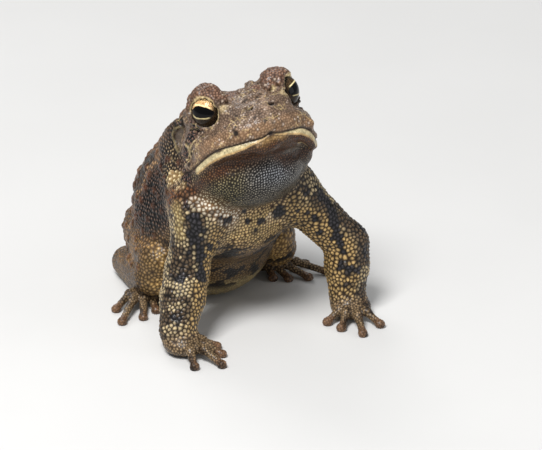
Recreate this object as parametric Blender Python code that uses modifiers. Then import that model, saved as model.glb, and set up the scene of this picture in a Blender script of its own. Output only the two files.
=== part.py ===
"""A life-size American toad sitting upright, as a still museum model in named parts.

Frame: +Z up, the toad faces -Y and its left side is +X. The origin is the middle of the flat patch of
belly that it rests on. Lengths in this file are millimetres, and each finished mesh is scaled to metres.
"""

import math

import bmesh
import bpy
import numpy as np
from mathutils import Matrix, Vector

MM = 0.001
BODY_LENGTH = 71.0  # snout to vent
GAP = 0.32  # left between neighbouring parts
SEAM_OFFSET = 1.2  # how far outside the trunk the limbs are parted from it
VOXEL = 0.62  # of the closed mesh that the smooth surface is drawn from
FLESH_TRIANGLES = 9900
SHELL_TRIANGLES = 2600
FAR = 1e3
SHARP_ANGLE = math.radians(50.0)

# The head has its own frame: forward, left, up, measured from the middle of the upper lip.
LIP = np.array([-1.4, -36.5, 56.0])
HEAD_PITCH = math.radians(27.0)
HEAD_YAW = math.radians(-10.0)  # it looks a little to its right
HEAD_ROLL = math.radians(6.0)  # with its left side up
EYE = (-13.1, 9.35, 8.5)
EYE_RADIUS = 4.5
EYE_OPENING = 3.6
EYE_FORWARD = math.radians(45.5)  # the eyes look sideways, this much forward
EYE_UP = math.radians(-6.0)
LID_BACK = {1: 2.2, -1: 0.5}  # how far each lid is drawn back over the top of its eye
JAW_LENGTH = 15.4
JAW_HALF_WIDTH = 15.5
MOUTH_CORNER = (-18.5, 16.0, -4.7)
NOSTRIL = (-2.8, 2.85, 6.5)
TYMPANUM = (-26.6, 14.4, 3.7)
TYMPANUM_RADIUS = 2.4

TORSO_DEPTH = 0.40 * BODY_LENGTH
RUMP_SHIFT = 1.6  # the rump sits this far to the toad's left
FINGER_RADIUS = 1.05
TOE_RADIUS = 1.0
WART_SEED = 11


def head_axes():
    """The head's forward, left and up directions as the rows of a matrix."""
    c, s = math.cos(HEAD_PITCH), math.sin(HEAD_PITCH)
    forward, left, up = np.array([[0, -c, s], [1, 0, 0], [0, s, c]])
    c, s = math.cos(HEAD_ROLL), math.sin(HEAD_ROLL)
    rolled = np.array([forward, left * c + up * s, up * c - left * s])
    c, s = math.cos(HEAD_YAW), math.sin(HEAD_YAW)
    return rolled @ np.array([[c, s, 0], [-s, c, 0], [0, 0, 1]])


HEAD = head_axes()


def from_head(point):
    return LIP + np.asarray(point, float) @ HEAD


def to_head(points):
    return (points - LIP) @ HEAD.T


def turned(about_x=0.0, about_y=0.0, about_z=0.0):
    """A 3 x 3 turn, in degrees, whose rows are the turned axes."""
    turn = (
        Matrix.Rotation(math.radians(about_z), 3, "Z")
        @ Matrix.Rotation(math.radians(about_y), 3, "Y")
        @ Matrix.Rotation(math.radians(about_x), 3, "X")
    )
    return np.array(turn.transposed())


class Blob:
    """An ellipsoid of flesh. Its axes are the rows of turn."""

    def __init__(self, centre, radii, turn=None, blend=3.0):
        self.centre = np.asarray(centre, float)
        self.radii = np.asarray(radii, float)
        self.turn = np.eye(3) if turn is None else turn
        self.blend = blend
        self.reach = self.radii.max() + blend + 2.0

    def distance(self, points):
        local = (points - self.centre) @ self.turn.T
        first = np.linalg.norm(local / self.radii, axis=1) + 1e-9
        second = np.linalg.norm(local / self.radii**2, axis=1) + 1e-9
        return first * (first - 1) / second

    def shells(self, sphere):
        return [(sphere * self.radii) @ self.turn + self.centre]


class Limb:
    """A tapered length of flesh with round ends."""

    def __init__(self, start, end, radius_start, radius_end, blend=2.0):
        self.start = np.asarray(start, float)
        self.end = np.asarray(end, float)
        self.radii = radius_start, radius_end
        self.blend = blend
        self.centre = (self.start + self.end) / 2
        span = np.linalg.norm(self.end - self.start) / 2
        self.reach = span + max(self.radii) + blend + 2.0

    def distance(self, points):
        along = self.end - self.start
        share = np.clip((points - self.start) @ along / (along @ along), 0, 1)
        nearest = self.start + share[:, None] * along
        radius = self.radii[0] + share * (self.radii[1] - self.radii[0])
        return np.linalg.norm(points - nearest, axis=1) - radius

    def shells(self, sphere):
        along = (self.end - self.start) / np.linalg.norm(self.end - self.start)
        ahead = (sphere @ along) > 0
        start = sphere * self.radii[0] + self.start
        end = sphere * self.radii[1] + self.end
        return [np.where(ahead[:, None], end, start)]


class Roll:
    """A bent roll of flesh through a line of points, with no bead where its lengths meet."""

    def __init__(self, line, radius, blend=1.0):
        self.lengths = [Limb(line[i], line[i + 1], radius, radius) for i in range(len(line) - 1)]
        self.blend = blend
        low, high = np.min(line, axis=0), np.max(line, axis=0)
        self.centre = (low + high) / 2
        self.reach = (high - low) / 2 + radius + blend + 2.0

    def distance(self, points):
        return np.min([length.distance(points) for length in self.lengths], axis=0)

    def shells(self, sphere):
        return [length.shells(sphere)[0] for length in self.lengths]


def smooth_min(a, b, blend):
    near = np.maximum(blend - np.abs(a - b), 0) / blend
    return np.minimum(a, b) - near * near * blend / 4


def flesh_distance(points, forms):
    """How far the points lie outside the forms once these are blended into one body."""
    order = np.argsort(points[:, 2])
    points = points[order]
    total = np.full(len(points), FAR)
    for form in forms:
        low, high = np.searchsorted(points[:, 2], form.centre[2] + np.array((-1, 1)) * np.max(form.reach))
        near = low + np.nonzero((np.abs(points[low:high] - form.centre) < form.reach).all(axis=1))[0]
        total[near] = smooth_min(total[near], form.distance(points[near]), form.blend)
    placed = np.empty(len(points))
    placed[order] = total
    return placed


def mirrored(point, side):
    return np.array([point[0], point[1] * side, point[2]], float)


def head_pair(points, radii, blend):
    """A limb on each side of the head, through points given in the head's frame."""
    made = []
    for side in (1, -1):
        ends = [from_head(mirrored(p, side)) for p in points]
        for i in range(len(ends) - 1):
            made.append(Limb(ends[i], ends[i + 1], radii[i], radii[i + 1], blend))
    return made


def blob_pair(point, radii, blend):
    return [
        Blob(from_head(mirrored(point, side)), radii, HEAD, blend) for side in (1, -1)
    ]


def mouth_height(forward, left):
    """How high the closed mouth runs in the head's frame: a small peak in front, level beside it, then
    dropping to its corners, sooner on the left."""
    leftward = np.clip(left / 8 + 0.5, 0, 1)
    back = np.clip((-forward - 3.5 + leftward) / (13.0 - 8.0 * leftward), 0, 1)
    front = -0.75 - (0.65 - 0.25 * leftward) * (1 - np.exp(-((left / 1.6) ** 2)))
    return front + (MOUTH_CORNER[2] - front) * back**1.5


def lip(above, radius, inset, reach):
    """A rolled lip that follows the mouth, reaching so many degrees round to each side."""
    line = []
    for angle in np.radians(np.linspace(-reach, reach, 33)):
        forward = (JAW_LENGTH - inset - radius) * (math.cos(angle) - 1) - inset - radius
        left = (JAW_HALF_WIDTH - inset - radius) * math.sin(angle)
        line.append(from_head((forward, left, mouth_height(forward, left) + above)))
    return Roll(line, radius, 1.2)


def lower_lip():
    return lip(-1.2, 0.9, 0.45, 90)


def head_forms():
    """Skull, snout, lids, crests and cheeks. Radii run forward, sideways and up."""
    skull = [
        Blob(from_head((-16.5, 0, 4.8)), (12.0, 12.0, 6.1), HEAD, 3),
        Blob(from_head((-JAW_LENGTH, 0, 1.0)), (JAW_LENGTH, JAW_HALF_WIDTH - 0.5, 4.4), HEAD, 2.5),
        Blob(from_head((-8.4, 0, 1.8)), (8.4, 10.6, 4.4), HEAD, 2.5),
        Blob(from_head((-8.6, 0, 3.2)), (7.8, 5.6, 4.6), HEAD, 3),
        Blob(from_head((-14.5, 0, 7.0)), (8.0, 5.0, 3.7), HEAD, 2.5),
    ]
    cheeks = blob_pair((-20.5, 9.2, 0.0), (8.6, 6.0, 6.6), 3)
    canthus = head_pair([(-8.2, 8.0, 6.6), (-4.4, 3.6, 5.2)], (2.2, 1.6), 1.6)
    orbits = blob_pair((EYE[0] - 0.9, EYE[1] - 0.3, EYE[2] + 0.7), (6.1, 4.2, 5.7), 1.3)
    orbits += blob_pair((EYE[0] - 6.8, EYE[1] - 1.4, EYE[2] - 1.6), (6.5, 4.6, 4.8), 3)
    crests = head_pair([(-11.0, 3.0, 8.9), (-14.5, 3.8, 9.9), (-20.5, 4.8, 11.6)], (0.9, 1.1, 1.2), 1.0)
    crests += head_pair([(-20.5, 4.8, 11.6), (-21.2, 12.4, 7.2)], (1.2, 1.1), 1.2)
    lips = head_pair([(-14.0, 14.0, -0.8), (-5.5, 11.7, -0.6)], (1.4, 1.3), 1.2)
    lobes = blob_pair((MOUTH_CORNER[0] - 0.6, 15.2, MOUTH_CORNER[2] + 1.3), (3.2, 1.6, 1.3), 0.8)
    return skull + cheeks + canthus + orbits + crests + lips + lobes + [lip(0.9, 1.3, 0.0, 100)]


def throat_forms():
    """The lower jaw and the half-filled vocal sac under it."""
    jaw = Blob(from_head((-15.2, 0, -2.6)), (14.0, 14.1, 3.9), HEAD, 2)
    chin = Blob(from_head((-2.4, -1.6, -3.2)), (2.3, 3.4, 2.0), HEAD, 1.2)
    sac = Blob((-0.8, -23.5, 41.0), (14.2, 12.2, 9.2), turned(about_x=-14), 2.5)
    jowls = blob_pair((-18.5, 11.4, -6.2), (5.5, 3.6, 4.2), 2)
    return [jaw, chin, sac, *jowls, lower_lip()]


def torso_forms():
    half = TORSO_DEPTH / 2
    lean = turned(about_x=-38)
    return [
        Blob((0, -13.0, 31.0), (16.0, half - 1.0, 17.0), lean, 5),
        Limb((1.1, -8.4, 43.6), (RUMP_SHIFT / 2, 4.0, 24.0), 10.9, 14.5, 5),
        Blob((RUMP_SHIFT / 2, -1.5, 21.0), (16.6, half + 2.0, 18.5), turned(about_x=-30), 5),
        Blob((RUMP_SHIFT, 2.0, 12.5), (15.8, 17.0, 13.2), None, 5),
        Blob((RUMP_SHIFT, 13.0, 10.5), (11.0, 8.0, 9.0), None, 5),
    ]


def seated(place, forms, depth=0.0):
    """The place moved to depth under the surface of the forms, along their slope."""
    place = np.asarray(place, float)
    for _ in range(12):
        around = place + np.concatenate([np.zeros((1, 3)), np.eye(3) * 0.1])
        found = flesh_distance(around, forms)
        slope = (found[1:] - found[0]) / 0.1
        slope /= max(np.linalg.norm(slope), 1e-6)
        place = place - slope * (found[0] + depth) * 0.8
    return place


def parotoid_forms(forms):
    """The oval poison gland behind each ear, and the small glands behind each corner of the mouth."""
    made = []
    for side in (1, -1):
        front = seated((side * 12.6, -7.6, 52.0), forms)
        rear = seated((side * 14.2, 2.6, 40.5), forms)
        along = (rear - front) / np.linalg.norm(rear - front)
        middle = seated((front + rear) / 2, forms, 0.9)
        outward = middle - (0, 2.0, middle[2])
        outward -= along * (outward @ along)
        outward /= np.linalg.norm(outward)
        turn = np.array([along, np.cross(outward, along), outward])
        made.append(Blob(middle, (np.linalg.norm(rear - front) / 2, 3.5, 2.7), turn, 1.4))
        for place, radii in (((-28.1, 18.2, -4.9), (1.3, 1.2, 1.6)), ((-21.3, 18.8, -8.0), (1.7, 1.2, 1.2))):
            made.append(Blob(seated(from_head(mirrored(place, side)), forms, 0.3), radii, HEAD, 0.7))
    return made


def digits(palm, heading, lengths, spreads, radius, side, tip_height):
    """Toes from a palm, flat on the ground. Spreads are degrees from the heading, towards the midline."""
    made = []
    for length, spread in zip(lengths, spreads):
        angle = math.radians(heading + spread)
        reach = np.array([-side * math.sin(angle), -math.cos(angle), 0])
        knuckle = palm + reach * 0.52 * length + np.array([0, 0, 0.8])
        tip = palm + reach * length
        tip[2] = tip_height
        made.append(Limb(palm, knuckle, radius * 1.45, radius * 0.95, 0.9))
        made.append(Limb(knuckle, tip, radius * 0.9, radius * 0.75, 0.5))
        bead = (radius * 1.1, radius * 1.1, radius)
        made.append(Blob(knuckle, bead, None, 0.6))
        made.append(Blob(tip, bead, None, 0.6))
    return made


ARMS = {
    1: {"shoulder": (13.6, -22.0, 31.0), "elbow": (25.4, -27.5, 17.0), "wrist": (24.0, -30.2, 5.4)},
    -1: {"shoulder": (-12.8, -21.5, 31.0), "elbow": (-16.8, -22.5, 16.5), "wrist": (-22.8, -28.6, 5.4)},
}
HIP = (7.6, 13.0, 12.5)
KNEE = (15.8, -4.5, 12.0)
HEEL = (14.0, 16.0, 4.2)
FOOT = (16.5, 2.5, 2.0)


def arm_forms(side):
    shoulder, elbow, wrist = (np.array(ARMS[side][k], float) for k in ("shoulder", "elbow", "wrist"))
    palm = wrist + np.array([side * -0.4, -3.2, -3.4])
    upper = [
        Limb(shoulder, elbow, 5.9, 4.9, 4),
        Blob(shoulder + np.array([-side * 2.5, 2.0, 1.0]), (7.0, 7.0, 7.0), None, 5),
    ]
    fore = [
        Limb(elbow, elbow * 0.55 + wrist * 0.45, 5.0, 5.0, 2),
        Limb(elbow * 0.55 + wrist * 0.45, wrist, 5.0, 4.4, 2),
    ]
    hand = [
        Blob(palm + np.array([0, 0.6, 0.4]), (4.9, 4.6, 2.7), None, 2),
        *digits(
            palm, 18, (8.0, 9.0, 12.0, 9.4), (62, 30, 0, -34), FINGER_RADIUS, side, 0.75
        ),
    ]
    return upper, fore, hand


def leg_places(side):
    return (np.array((RUMP_SHIFT + side * p[0], p[1], p[2]), float) for p in (HIP, KNEE, HEEL, FOOT))


def leg_forms(side):
    hip, knee, heel, foot = leg_places(side)
    thigh = [Limb(hip, knee, 7.8, 5.8, 1.6)]
    shank = [Limb(knee + np.array([side * 1.8, 0.5, -3.6]), heel, 4.8, 3.2, 0.8)]
    sole = [
        Limb(heel + np.array([0, 0.5, -1.2]), foot, 3.2, 2.6, 1.2),
        *digits(
            foot, -38, (8.0, 10.5, 14.0, 17.5, 11.5), (44, 25, 8, -9, -28), TOE_RADIUS, side, 0.7
        ),
    ]
    return thigh, shank, sole


def trunk_forms():
    made = torso_forms() + head_forms() + throat_forms()
    return made + parotoid_forms(made)


def all_forms():
    made = trunk_forms()
    for side in (1, -1):
        for group in (*arm_forms(side), *leg_forms(side)):
            made += group
    return made


def eye_direction(side):
    aim = (
        math.sin(EYE_FORWARD) * math.cos(EYE_UP),
        side * math.cos(EYE_FORWARD) * math.cos(EYE_UP),
        math.sin(EYE_UP),
    )
    return np.array(aim) @ HEAD


def face_relief(points):
    """Millimetres by which nostrils and ears lower the head's surface."""
    local = to_head(points)
    relief = np.zeros(len(points))
    for side in (1, -1):
        nostril = np.linalg.norm((local - mirrored(NOSTRIL, side)) / (0.9, 0.65, 0.65), axis=1)
        relief += 1.1 * np.exp(-(nostril**2))
        ear = local - mirrored(TYMPANUM, side)
        round_ear = np.hypot(ear[:, 0], ear[:, 2] / 1.1) / TYMPANUM_RADIUS
        beside = np.exp(-((ear[:, 1] / 4.0) ** 4))
        relief += 0.35 * beside / (1 + np.exp((round_ear - 0.9) * 18))
        relief -= 0.35 * beside * np.exp(-(((round_ear - 1.12) / 0.14) ** 2))
    return relief


def eye_rim(side):
    """The eye's middle and aim, and how far ahead of the middle its lids open."""
    return from_head(mirrored(EYE, side)), eye_direction(side), math.sqrt(EYE_RADIUS**2 - EYE_OPENING**2)


def lid_forms():
    """A rolled rim of lid round each eye, set back towards the ear, and a fold over it."""
    made = []
    for side in (1, -1):
        centre, aim, ahead = eye_rim(side)
        nose = np.cross(aim, HEAD[2]) * side
        nose /= np.linalg.norm(nose)
        rise = np.cross(nose, aim) * side
        ring = []
        for a in np.linspace(0, 2 * math.pi, 29):
            deep = ahead - LID_BACK[side] * max(0.0, math.cos(a - 2.2))
            wide = math.sqrt(EYE_RADIUS**2 - deep**2) + 0.45 + 0.1 * math.cos(a)
            ring.append(centre + aim * deep + wide * (math.cos(a) * nose + math.sin(a) * rise))
        fold = [
            centre
            + aim * (ahead - 1.2 - LID_BACK[side] - 0.6 * max(0.0, -math.cos(a)))
            + (EYE_OPENING + 1.3) * (math.cos(a) * nose + math.sin(a) * rise)
            for a in np.radians(np.linspace(20, 140, 13))
        ]
        made += [Roll(ring, 0.5, 0.5), Roll(fold, 0.9, 1.2)]
    return made


def eye_clearing():
    """Round hollows that keep the flesh off the front of each eye."""
    made = []
    for side in (1, -1):
        centre, aim, ahead = eye_rim(side)
        radius = math.hypot(EYE_OPENING + 0.4, 3.2)
        made.append(Blob(centre + aim * (ahead + 3.2), (radius, radius, radius), None, 0.8))
    return made


def wart_places(forms):
    """Warts on the back, flanks and legs: (place, radius, height), in rings with a seeded scatter."""
    random = np.random.default_rng(WART_SEED)
    glands = parotoid_forms(torso_forms() + head_forms() + throat_forms())
    made = []
    for row in range(12):
        height = 7.0 + 3.9 * row
        middle = np.array([0, 9 - 0.42 * height, height])
        count = 15 if row < 9 else 11
        for step in range(count):
            angle = math.radians(-112 + 224 * (step + 0.5 * (row % 2)) / count + random.uniform(-6, 6))
            out = np.array([math.sin(angle), math.cos(angle), 0.2])
            out /= np.linalg.norm(out)
            place = middle + out * 30 + (0, 0, random.uniform(-1.4, 1.4))
            for _ in range(16):
                place = place - out * flesh_distance(place[None], forms)[0] * 0.8
            radius = random.choice([1.2, 1.5, 1.9, 2.3], p=[0.3, 0.3, 0.25, 0.15])
            radius = min(radius, 1.25 + 0.02 * max(0, 95 - abs(math.degrees(angle))))
            on_gland = min(gland.distance(place[None])[0] for gland in glands) < 1.2
            if to_head(place)[0] < -27 and not on_gland:
                made.append((place, radius, 0.42 * radius))
    return made


def wart_relief(points, warts):
    order = np.argsort(points[:, 2])
    points = points[order]
    raised = np.zeros(len(points))
    for place, radius, height in warts:
        low, high = np.searchsorted(points[:, 2], (place[2] - radius, place[2] + radius))
        near = ((points[low:high] - place) ** 2).sum(axis=1) / radius**2
        raised[low:high] = np.maximum(raised[low:high], height * np.clip(1 - near, 0, 1) ** 1.5)
    placed = np.empty(len(points))
    placed[order] = raised
    return placed


def mesh_arrays(mesh):
    points = np.empty(len(mesh.vertices) * 3)
    mesh.vertices.foreach_get("co", points)
    return points.reshape(-1, 3)


def link(name, mesh):
    made = bpy.data.objects.new(name, mesh)
    bpy.context.scene.collection.objects.link(made)
    return made


def applied(thing):
    """The object with its modifiers made part of its mesh."""
    graph = bpy.context.evaluated_depsgraph_get()
    mesh = bpy.data.meshes.new_from_object(thing.evaluated_get(graph))
    thing.modifiers.clear()
    thing.data = mesh
    return thing


def unit_sphere():
    ball = bmesh.new()
    bmesh.ops.create_icosphere(ball, subdivisions=3, radius=1)
    points = np.array([v.co[:] for v in ball.verts])
    faces = [[v.index for v in f.verts] for f in ball.faces]
    ball.free()
    return points, faces


def joined_shells(name, forms):
    """The plain shells of the forms as one mesh."""
    sphere, faces = unit_sphere()
    shells = [shell for form in forms for shell in form.shells(sphere)]
    points = np.concatenate(shells)
    many = [[i + n * len(sphere) for i in f] for n in range(len(shells)) for f in faces]
    mesh = bpy.data.meshes.new(name)
    mesh.from_pydata(points.tolist(), [], many)
    return link(name, mesh)


def remeshed(thing, voxel):
    """One closed even mesh in the place of overlapping ones."""
    remesh = thing.modifiers.new("closed", "REMESH")
    remesh.mode = "VOXEL"
    remesh.voxel_size = voxel
    return applied(thing)


def drawn_to(points, distance, rounds=4, step=0.06):
    """The points moved onto the surface where distance is zero."""
    for _ in range(rounds):
        here = distance(points)
        slope = np.stack(
            [distance(points + np.eye(3)[i] * step) - here for i in range(3)], axis=1
        ) / step
        size = np.maximum((slope**2).sum(axis=1), 0.25)
        move = slope * (here / size)[:, None]
        longest = np.linalg.norm(move, axis=1, keepdims=True)
        points = points - move * np.minimum(1, 1.0 / np.maximum(longest, 1e-9))
    return points


def relaxed(thing, repeats, factor=0.5):
    smooth = thing.modifiers.new("relaxed", "SMOOTH")
    smooth.factor = factor
    smooth.iterations = repeats
    return applied(thing)


def fitted_body(name, forms, voxel, offset=0.0, detail=False):
    """A closed body whose surface is the blended forms, raised by offset."""
    warts = wart_places(forms) if detail else []

    hollows = eye_clearing()
    rims = lid_forms()

    def distance(points):
        found = flesh_distance(points, forms)
        for hollow in hollows:
            found = -smooth_min(-found, hollow.distance(points), hollow.blend)
        found = smooth_min(found, flesh_distance(points, rims), 0.6) - offset
        if detail:
            found += face_relief(points) - wart_relief(points, warts)
        return found

    body = joined_shells(name, forms + rims)
    for repeats in (4, 2):
        remeshed(body, voxel)
        for rounds in (2, 2):
            relaxed(body, repeats)
            points = drawn_to(mesh_arrays(body.data), distance, rounds)
            body.data.vertices.foreach_set("co", points.ravel())
    return body


def boolean(thing, other, operation, keep_other=False):
    cut = thing.modifiers.new("cut", "BOOLEAN")
    cut.operation = operation
    cut.solver = "EXACT"
    cut.object = other
    applied(thing)
    if not keep_other:
        bpy.data.objects.remove(other)
    return thing


def copied(thing, name):
    return link(name, thing.data.copy())


def ball(name, centre, radius, segments=24, rings=12):
    mesh = bpy.data.meshes.new(name)
    made = bmesh.new()
    bmesh.ops.create_uvsphere(
        made,
        u_segments=segments,
        v_segments=rings,
        radius=radius,
        matrix=Matrix.Translation(Vector(centre)),
    )
    made.to_mesh(mesh)
    made.free()
    return link(name, mesh)


def floor_block():
    mesh = bpy.data.meshes.new("floor")
    made = bmesh.new()
    bmesh.ops.create_cube(made, size=200, matrix=Matrix.Translation((0, 0, -100)))
    made.to_mesh(mesh)
    made.free()
    return link("floor", mesh)


def sheet(name, rows):
    """A thin curved cutter through rows of points."""
    across = len(rows[0])
    faces = [
        [r * across + i, r * across + i + 1, (r + 1) * across + i + 1, (r + 1) * across + i]
        for r in range(len(rows) - 1)
        for i in range(across - 1)
    ]
    mesh = bpy.data.meshes.new(name)
    mesh.from_pydata([list(map(float, p)) for row in rows for p in row], [], faces)
    made = link(name, mesh)
    thick = made.modifiers.new("thick", "SOLIDIFY")
    thick.thickness = GAP
    thick.offset = 0
    return applied(made)


def neck_sheet():
    """From behind the ears down behind the jaw, then forward under the vocal sac."""
    profile = [(-3.0, 75.0), (-6.5, 56.0), (-10.0, 46.0), (-13.0, 39.0), (-20.0, 33.0), (-29.0, 31.6), (-48.0, 27.0)]
    return sheet("neck", [[(x, y, z) for x in (-30, -10, 10, 30)] for y, z in profile])


def mouth_sheet():
    """Along the line of the mouth, right through the head."""
    rows = []
    for forward in np.linspace(8, -40, 31):
        row = [(forward, left, mouth_height(forward, left)) for left in np.linspace(-30, 30, 37)]
        rows.append([from_head(place) for place in row])
    return sheet("mouth", rows)


def slab(name, centre, normal, size=70.0):
    """A flat thin cutter."""
    mesh = bpy.data.meshes.new(name)
    made = bmesh.new()
    facing = Vector(normal).to_track_quat("Z", "Y").to_matrix().to_4x4()
    place = Matrix.Translation(Vector(centre)) @ facing @ Matrix.Diagonal((size, size, GAP, 1))
    bmesh.ops.create_cube(made, size=1, matrix=place)
    made.to_mesh(mesh)
    made.free()
    return link(name, mesh)


def loose_bodies(thing):
    """The closed bodies of a mesh, each its own object, and the mesh's object removed."""
    whole = bmesh.new()
    whole.from_mesh(thing.data)
    whole.verts.ensure_lookup_table()
    seen = [False] * len(whole.verts)
    found = []
    for start in whole.verts:
        if seen[start.index]:
            continue
        stack, members = [start], []
        seen[start.index] = True
        while stack:
            vert = stack.pop()
            members.append(vert)
            for edge in vert.link_edges:
                other = edge.other_vert(vert)
                if not seen[other.index]:
                    seen[other.index] = True
                    stack.append(other)
        index = {v.index: n for n, v in enumerate(members)}
        faces = {f for v in members for f in v.link_faces}
        mesh = bpy.data.meshes.new("body")
        mesh.from_pydata(
            [v.co[:] for v in members],
            [],
            [[index[v.index] for v in f.verts] for f in sorted(faces, key=lambda f: f.index)],
        )
        found.append(link("body", mesh))
    whole.free()
    bpy.data.objects.remove(thing)
    return found


def volume(thing):
    measured = bmesh.new()
    measured.from_mesh(thing.data)
    size = measured.calc_volume(signed=True)
    measured.free()
    return size


def middle(thing):
    points = mesh_arrays(thing.data)
    return (points.min(axis=0) + points.max(axis=0)) / 2


def named(bodies, seeds, least=5.0):
    """Each seed's nearest body takes its name. Scraps go."""
    bodies = sorted(bodies, key=volume, reverse=True)
    kept = [b for b in bodies if volume(b) > least][: len(seeds)]
    for scrap in bodies:
        if scrap not in kept:
            bpy.data.objects.remove(scrap)
    made = {}
    for name, seed in seeds.items():
        best = min(kept, key=lambda b: np.linalg.norm(middle(b) - np.asarray(seed)))
        kept.remove(best)
        best.name = best.data.name = name
        made[name] = best
    return made


def decimated(thing, triangles):
    """Fewer faces, with most of them left to the head."""
    points = to_head(mesh_arrays(thing.data))
    on_head = 1 / (1 + np.exp(-(points[:, 0] + 22) * 0.8))
    on_head *= 1 / (1 + np.exp(-(points[:, 2] + 9) * 0.8))
    low = 1 / (1 + np.exp((mesh_arrays(thing.data)[:, 2] - 3.5) * 2))
    group = thing.vertex_groups.new(name="plain")
    weights = 1 - 0.6 * on_head - 0.35 * low
    for level in np.linspace(0.25, 1.0, 7):
        picked = np.nonzero(np.abs(weights - level) <= 0.0626)[0]
        group.add(picked.tolist(), float(level), "REPLACE")
    count = sum(len(p.vertices) - 2 for p in thing.data.polygons)
    fewer = thing.modifiers.new("fewer", "DECIMATE")
    fewer.ratio = triangles / count
    fewer.vertex_group = "plain"
    fewer.vertex_group_factor = 1.0
    applied(thing)
    thing.vertex_groups.clear()
    return thing


def cut_apart(thing, cutter, seeds):
    """The bodies that a thin cutter leaves, each under the name of the seed nearest its middle."""
    return named(loose_bodies(boolean(thing, cutter, "DIFFERENCE")), seeds)


def sided(word, side):
    return f"{word}_left" if side == 1 else f"{word}_right"


def arm_parts(arm, side):
    """An arm cut at its elbow and wrist."""
    shoulder, elbow, wrist = (np.array(ARMS[side][k], float) for k in ("shoulder", "elbow", "wrist"))
    bend = (elbow - shoulder) / np.linalg.norm(elbow - shoulder) + (wrist - elbow) / np.linalg.norm(wrist - elbow)
    halves = cut_apart(
        arm, slab("elbow", elbow, bend), {"upper": (shoulder + elbow) / 2, "lower": wrist}
    )
    lower = cut_apart(
        halves["lower"],
        slab("wrist", wrist - (0, 0, 0.6), (0, 0.25, 1)),
        {sided("forearm", side): (elbow + wrist) / 2, sided("hand", side): wrist - (0, 5, 4)},
    )
    halves["upper"].name = sided("upper_arm", side)
    return [halves["upper"], *lower.values()]


def leg_parts(leg, side):
    """A folded leg cut between thigh and shank, and between shank and foot."""
    hip, knee, heel, foot = leg_places(side)
    front = knee + (0, -6.0, -1.2)
    rear = (hip + heel) / 2 + (0, 4.0, -1.0)
    fold = np.cross(rear - front, (1, 0, -0.35 * side))
    upper = cut_apart(
        leg, slab("fold", (front + rear) / 2, fold), {"thigh": (hip + knee) / 2 + (0, 0, 3), "below": foot}
    )
    lower = cut_apart(
        upper["below"],
        slab("ankle", (heel + foot) / 2 + (0, 0, 1.6), (0, 0.04, 1)),
        {sided("shank", side): (knee + heel) / 2, sided("foot", side): foot + (0, -4, -1)},
    )
    upper["thigh"].name = sided("thigh", side)
    return [upper["thigh"], *lower.values()]


def parted():
    """Every part of the toad, in millimetres."""
    whole = fitted_body("whole", all_forms(), VOXEL, detail=True)
    decimated(whole, FLESH_TRIANGLES)
    boolean(whole, floor_block(), "DIFFERENCE")
    parts = []
    for side in (1, -1):
        centre = from_head(mirrored(EYE, side))
        boolean(whole, ball("socket", centre, EYE_RADIUS + GAP), "DIFFERENCE")
        parts.append(ball(sided("eye", side), centre, EYE_RADIUS))
    near = relaxed(fitted_body("near", trunk_forms(), 1.2, offset=SEAM_OFFSET), 10)
    decimated(near, SHELL_TRIANGLES)
    far = copied(near, "far")
    far.modifiers.new("grown", "DISPLACE").strength = GAP
    far.modifiers["grown"].mid_level = 0
    applied(far)
    limbs = boolean(copied(whole, "limbs"), far, "DIFFERENCE")
    trunk = boolean(whole, near, "INTERSECT")
    blocks = cut_apart(trunk, neck_sheet(), {"torso": (0, 0, 22), "head_block": from_head((-14, 0, 0))})
    parts.append(blocks["torso"])
    parts += cut_apart(
        blocks["head_block"],
        mouth_sheet(),
        {"head": from_head((-15, 0, 5)), "throat": from_head((-15, 0, -10))},
    ).values()
    seeds = {}
    for side in (1, -1):
        seeds[sided("arm", side)] = ARMS[side]["elbow"]
        seeds[sided("leg", side)] = (side * 18, 2, 9)
    found = named(loose_bodies(limbs), seeds)
    for side in (1, -1):
        parts += arm_parts(found[sided("arm", side)], side)
        parts += leg_parts(found[sided("leg", side)], side)
    return parts


SKINS = {
    "head": (0.30, 0.20, 0.13),
    "throat": (0.16, 0.16, 0.15),
    "torso": (0.42, 0.33, 0.17),
    "eye": (0.02, 0.02, 0.02),
    "upper_arm": (0.40, 0.29, 0.15),
    "forearm": (0.36, 0.26, 0.14),
    "hand": (0.28, 0.20, 0.12),
    "thigh": (0.33, 0.24, 0.12),
    "shank": (0.30, 0.21, 0.11),
    "foot": (0.25, 0.18, 0.11),
}


def material(name, colour, roughness):
    made = bpy.data.materials.new(name)
    made.use_nodes = True
    shader = made.node_tree.nodes["Principled BSDF"]
    shader.inputs["Base Color"].default_value = (*colour, 1)
    shader.inputs["Roughness"].default_value = roughness
    shader.inputs["Metallic"].default_value = 0
    return made


def finished(thing, collection):
    """A part in metres, in its collection, smooth and in its colour."""
    for old in list(thing.users_collection):
        old.objects.unlink(thing)
    collection.objects.link(thing)
    thing.data.name = thing.name
    thing.data.transform(Matrix.Scale(MM, 4))
    thing.data.shade_smooth()
    thing.data.set_sharp_from_angle(angle=SHARP_ANGLE)
    kind = thing.name.replace("_left", "").replace("_right", "")
    roughness = 0.08 if kind == "eye" else 0.55
    thing.data.materials.clear()
    thing.data.materials.append(material(thing.name, SKINS[kind], roughness))


def main():
    for thing in list(bpy.data.objects):
        bpy.data.objects.remove(thing)
    toad = bpy.data.collections.new("american_toad")
    bpy.context.scene.collection.children.link(toad)
    for thing in parted():
        finished(thing, toad)


if __name__ == "__main__":
    main()
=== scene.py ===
"""The american toad's looks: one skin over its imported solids, eyes, a pale floor, soft light and a camera.

Lengths are millimetres until a mesh is finished, and are then scaled to metres. +Z is up, the toad faces -Y
and its left side is +X. The forms repeat the ones that the solids are made from.
"""

import math

import bmesh
import bpy
import numpy as np
from mathutils import Matrix, Vector
from mathutils.kdtree import KDTree


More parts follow.
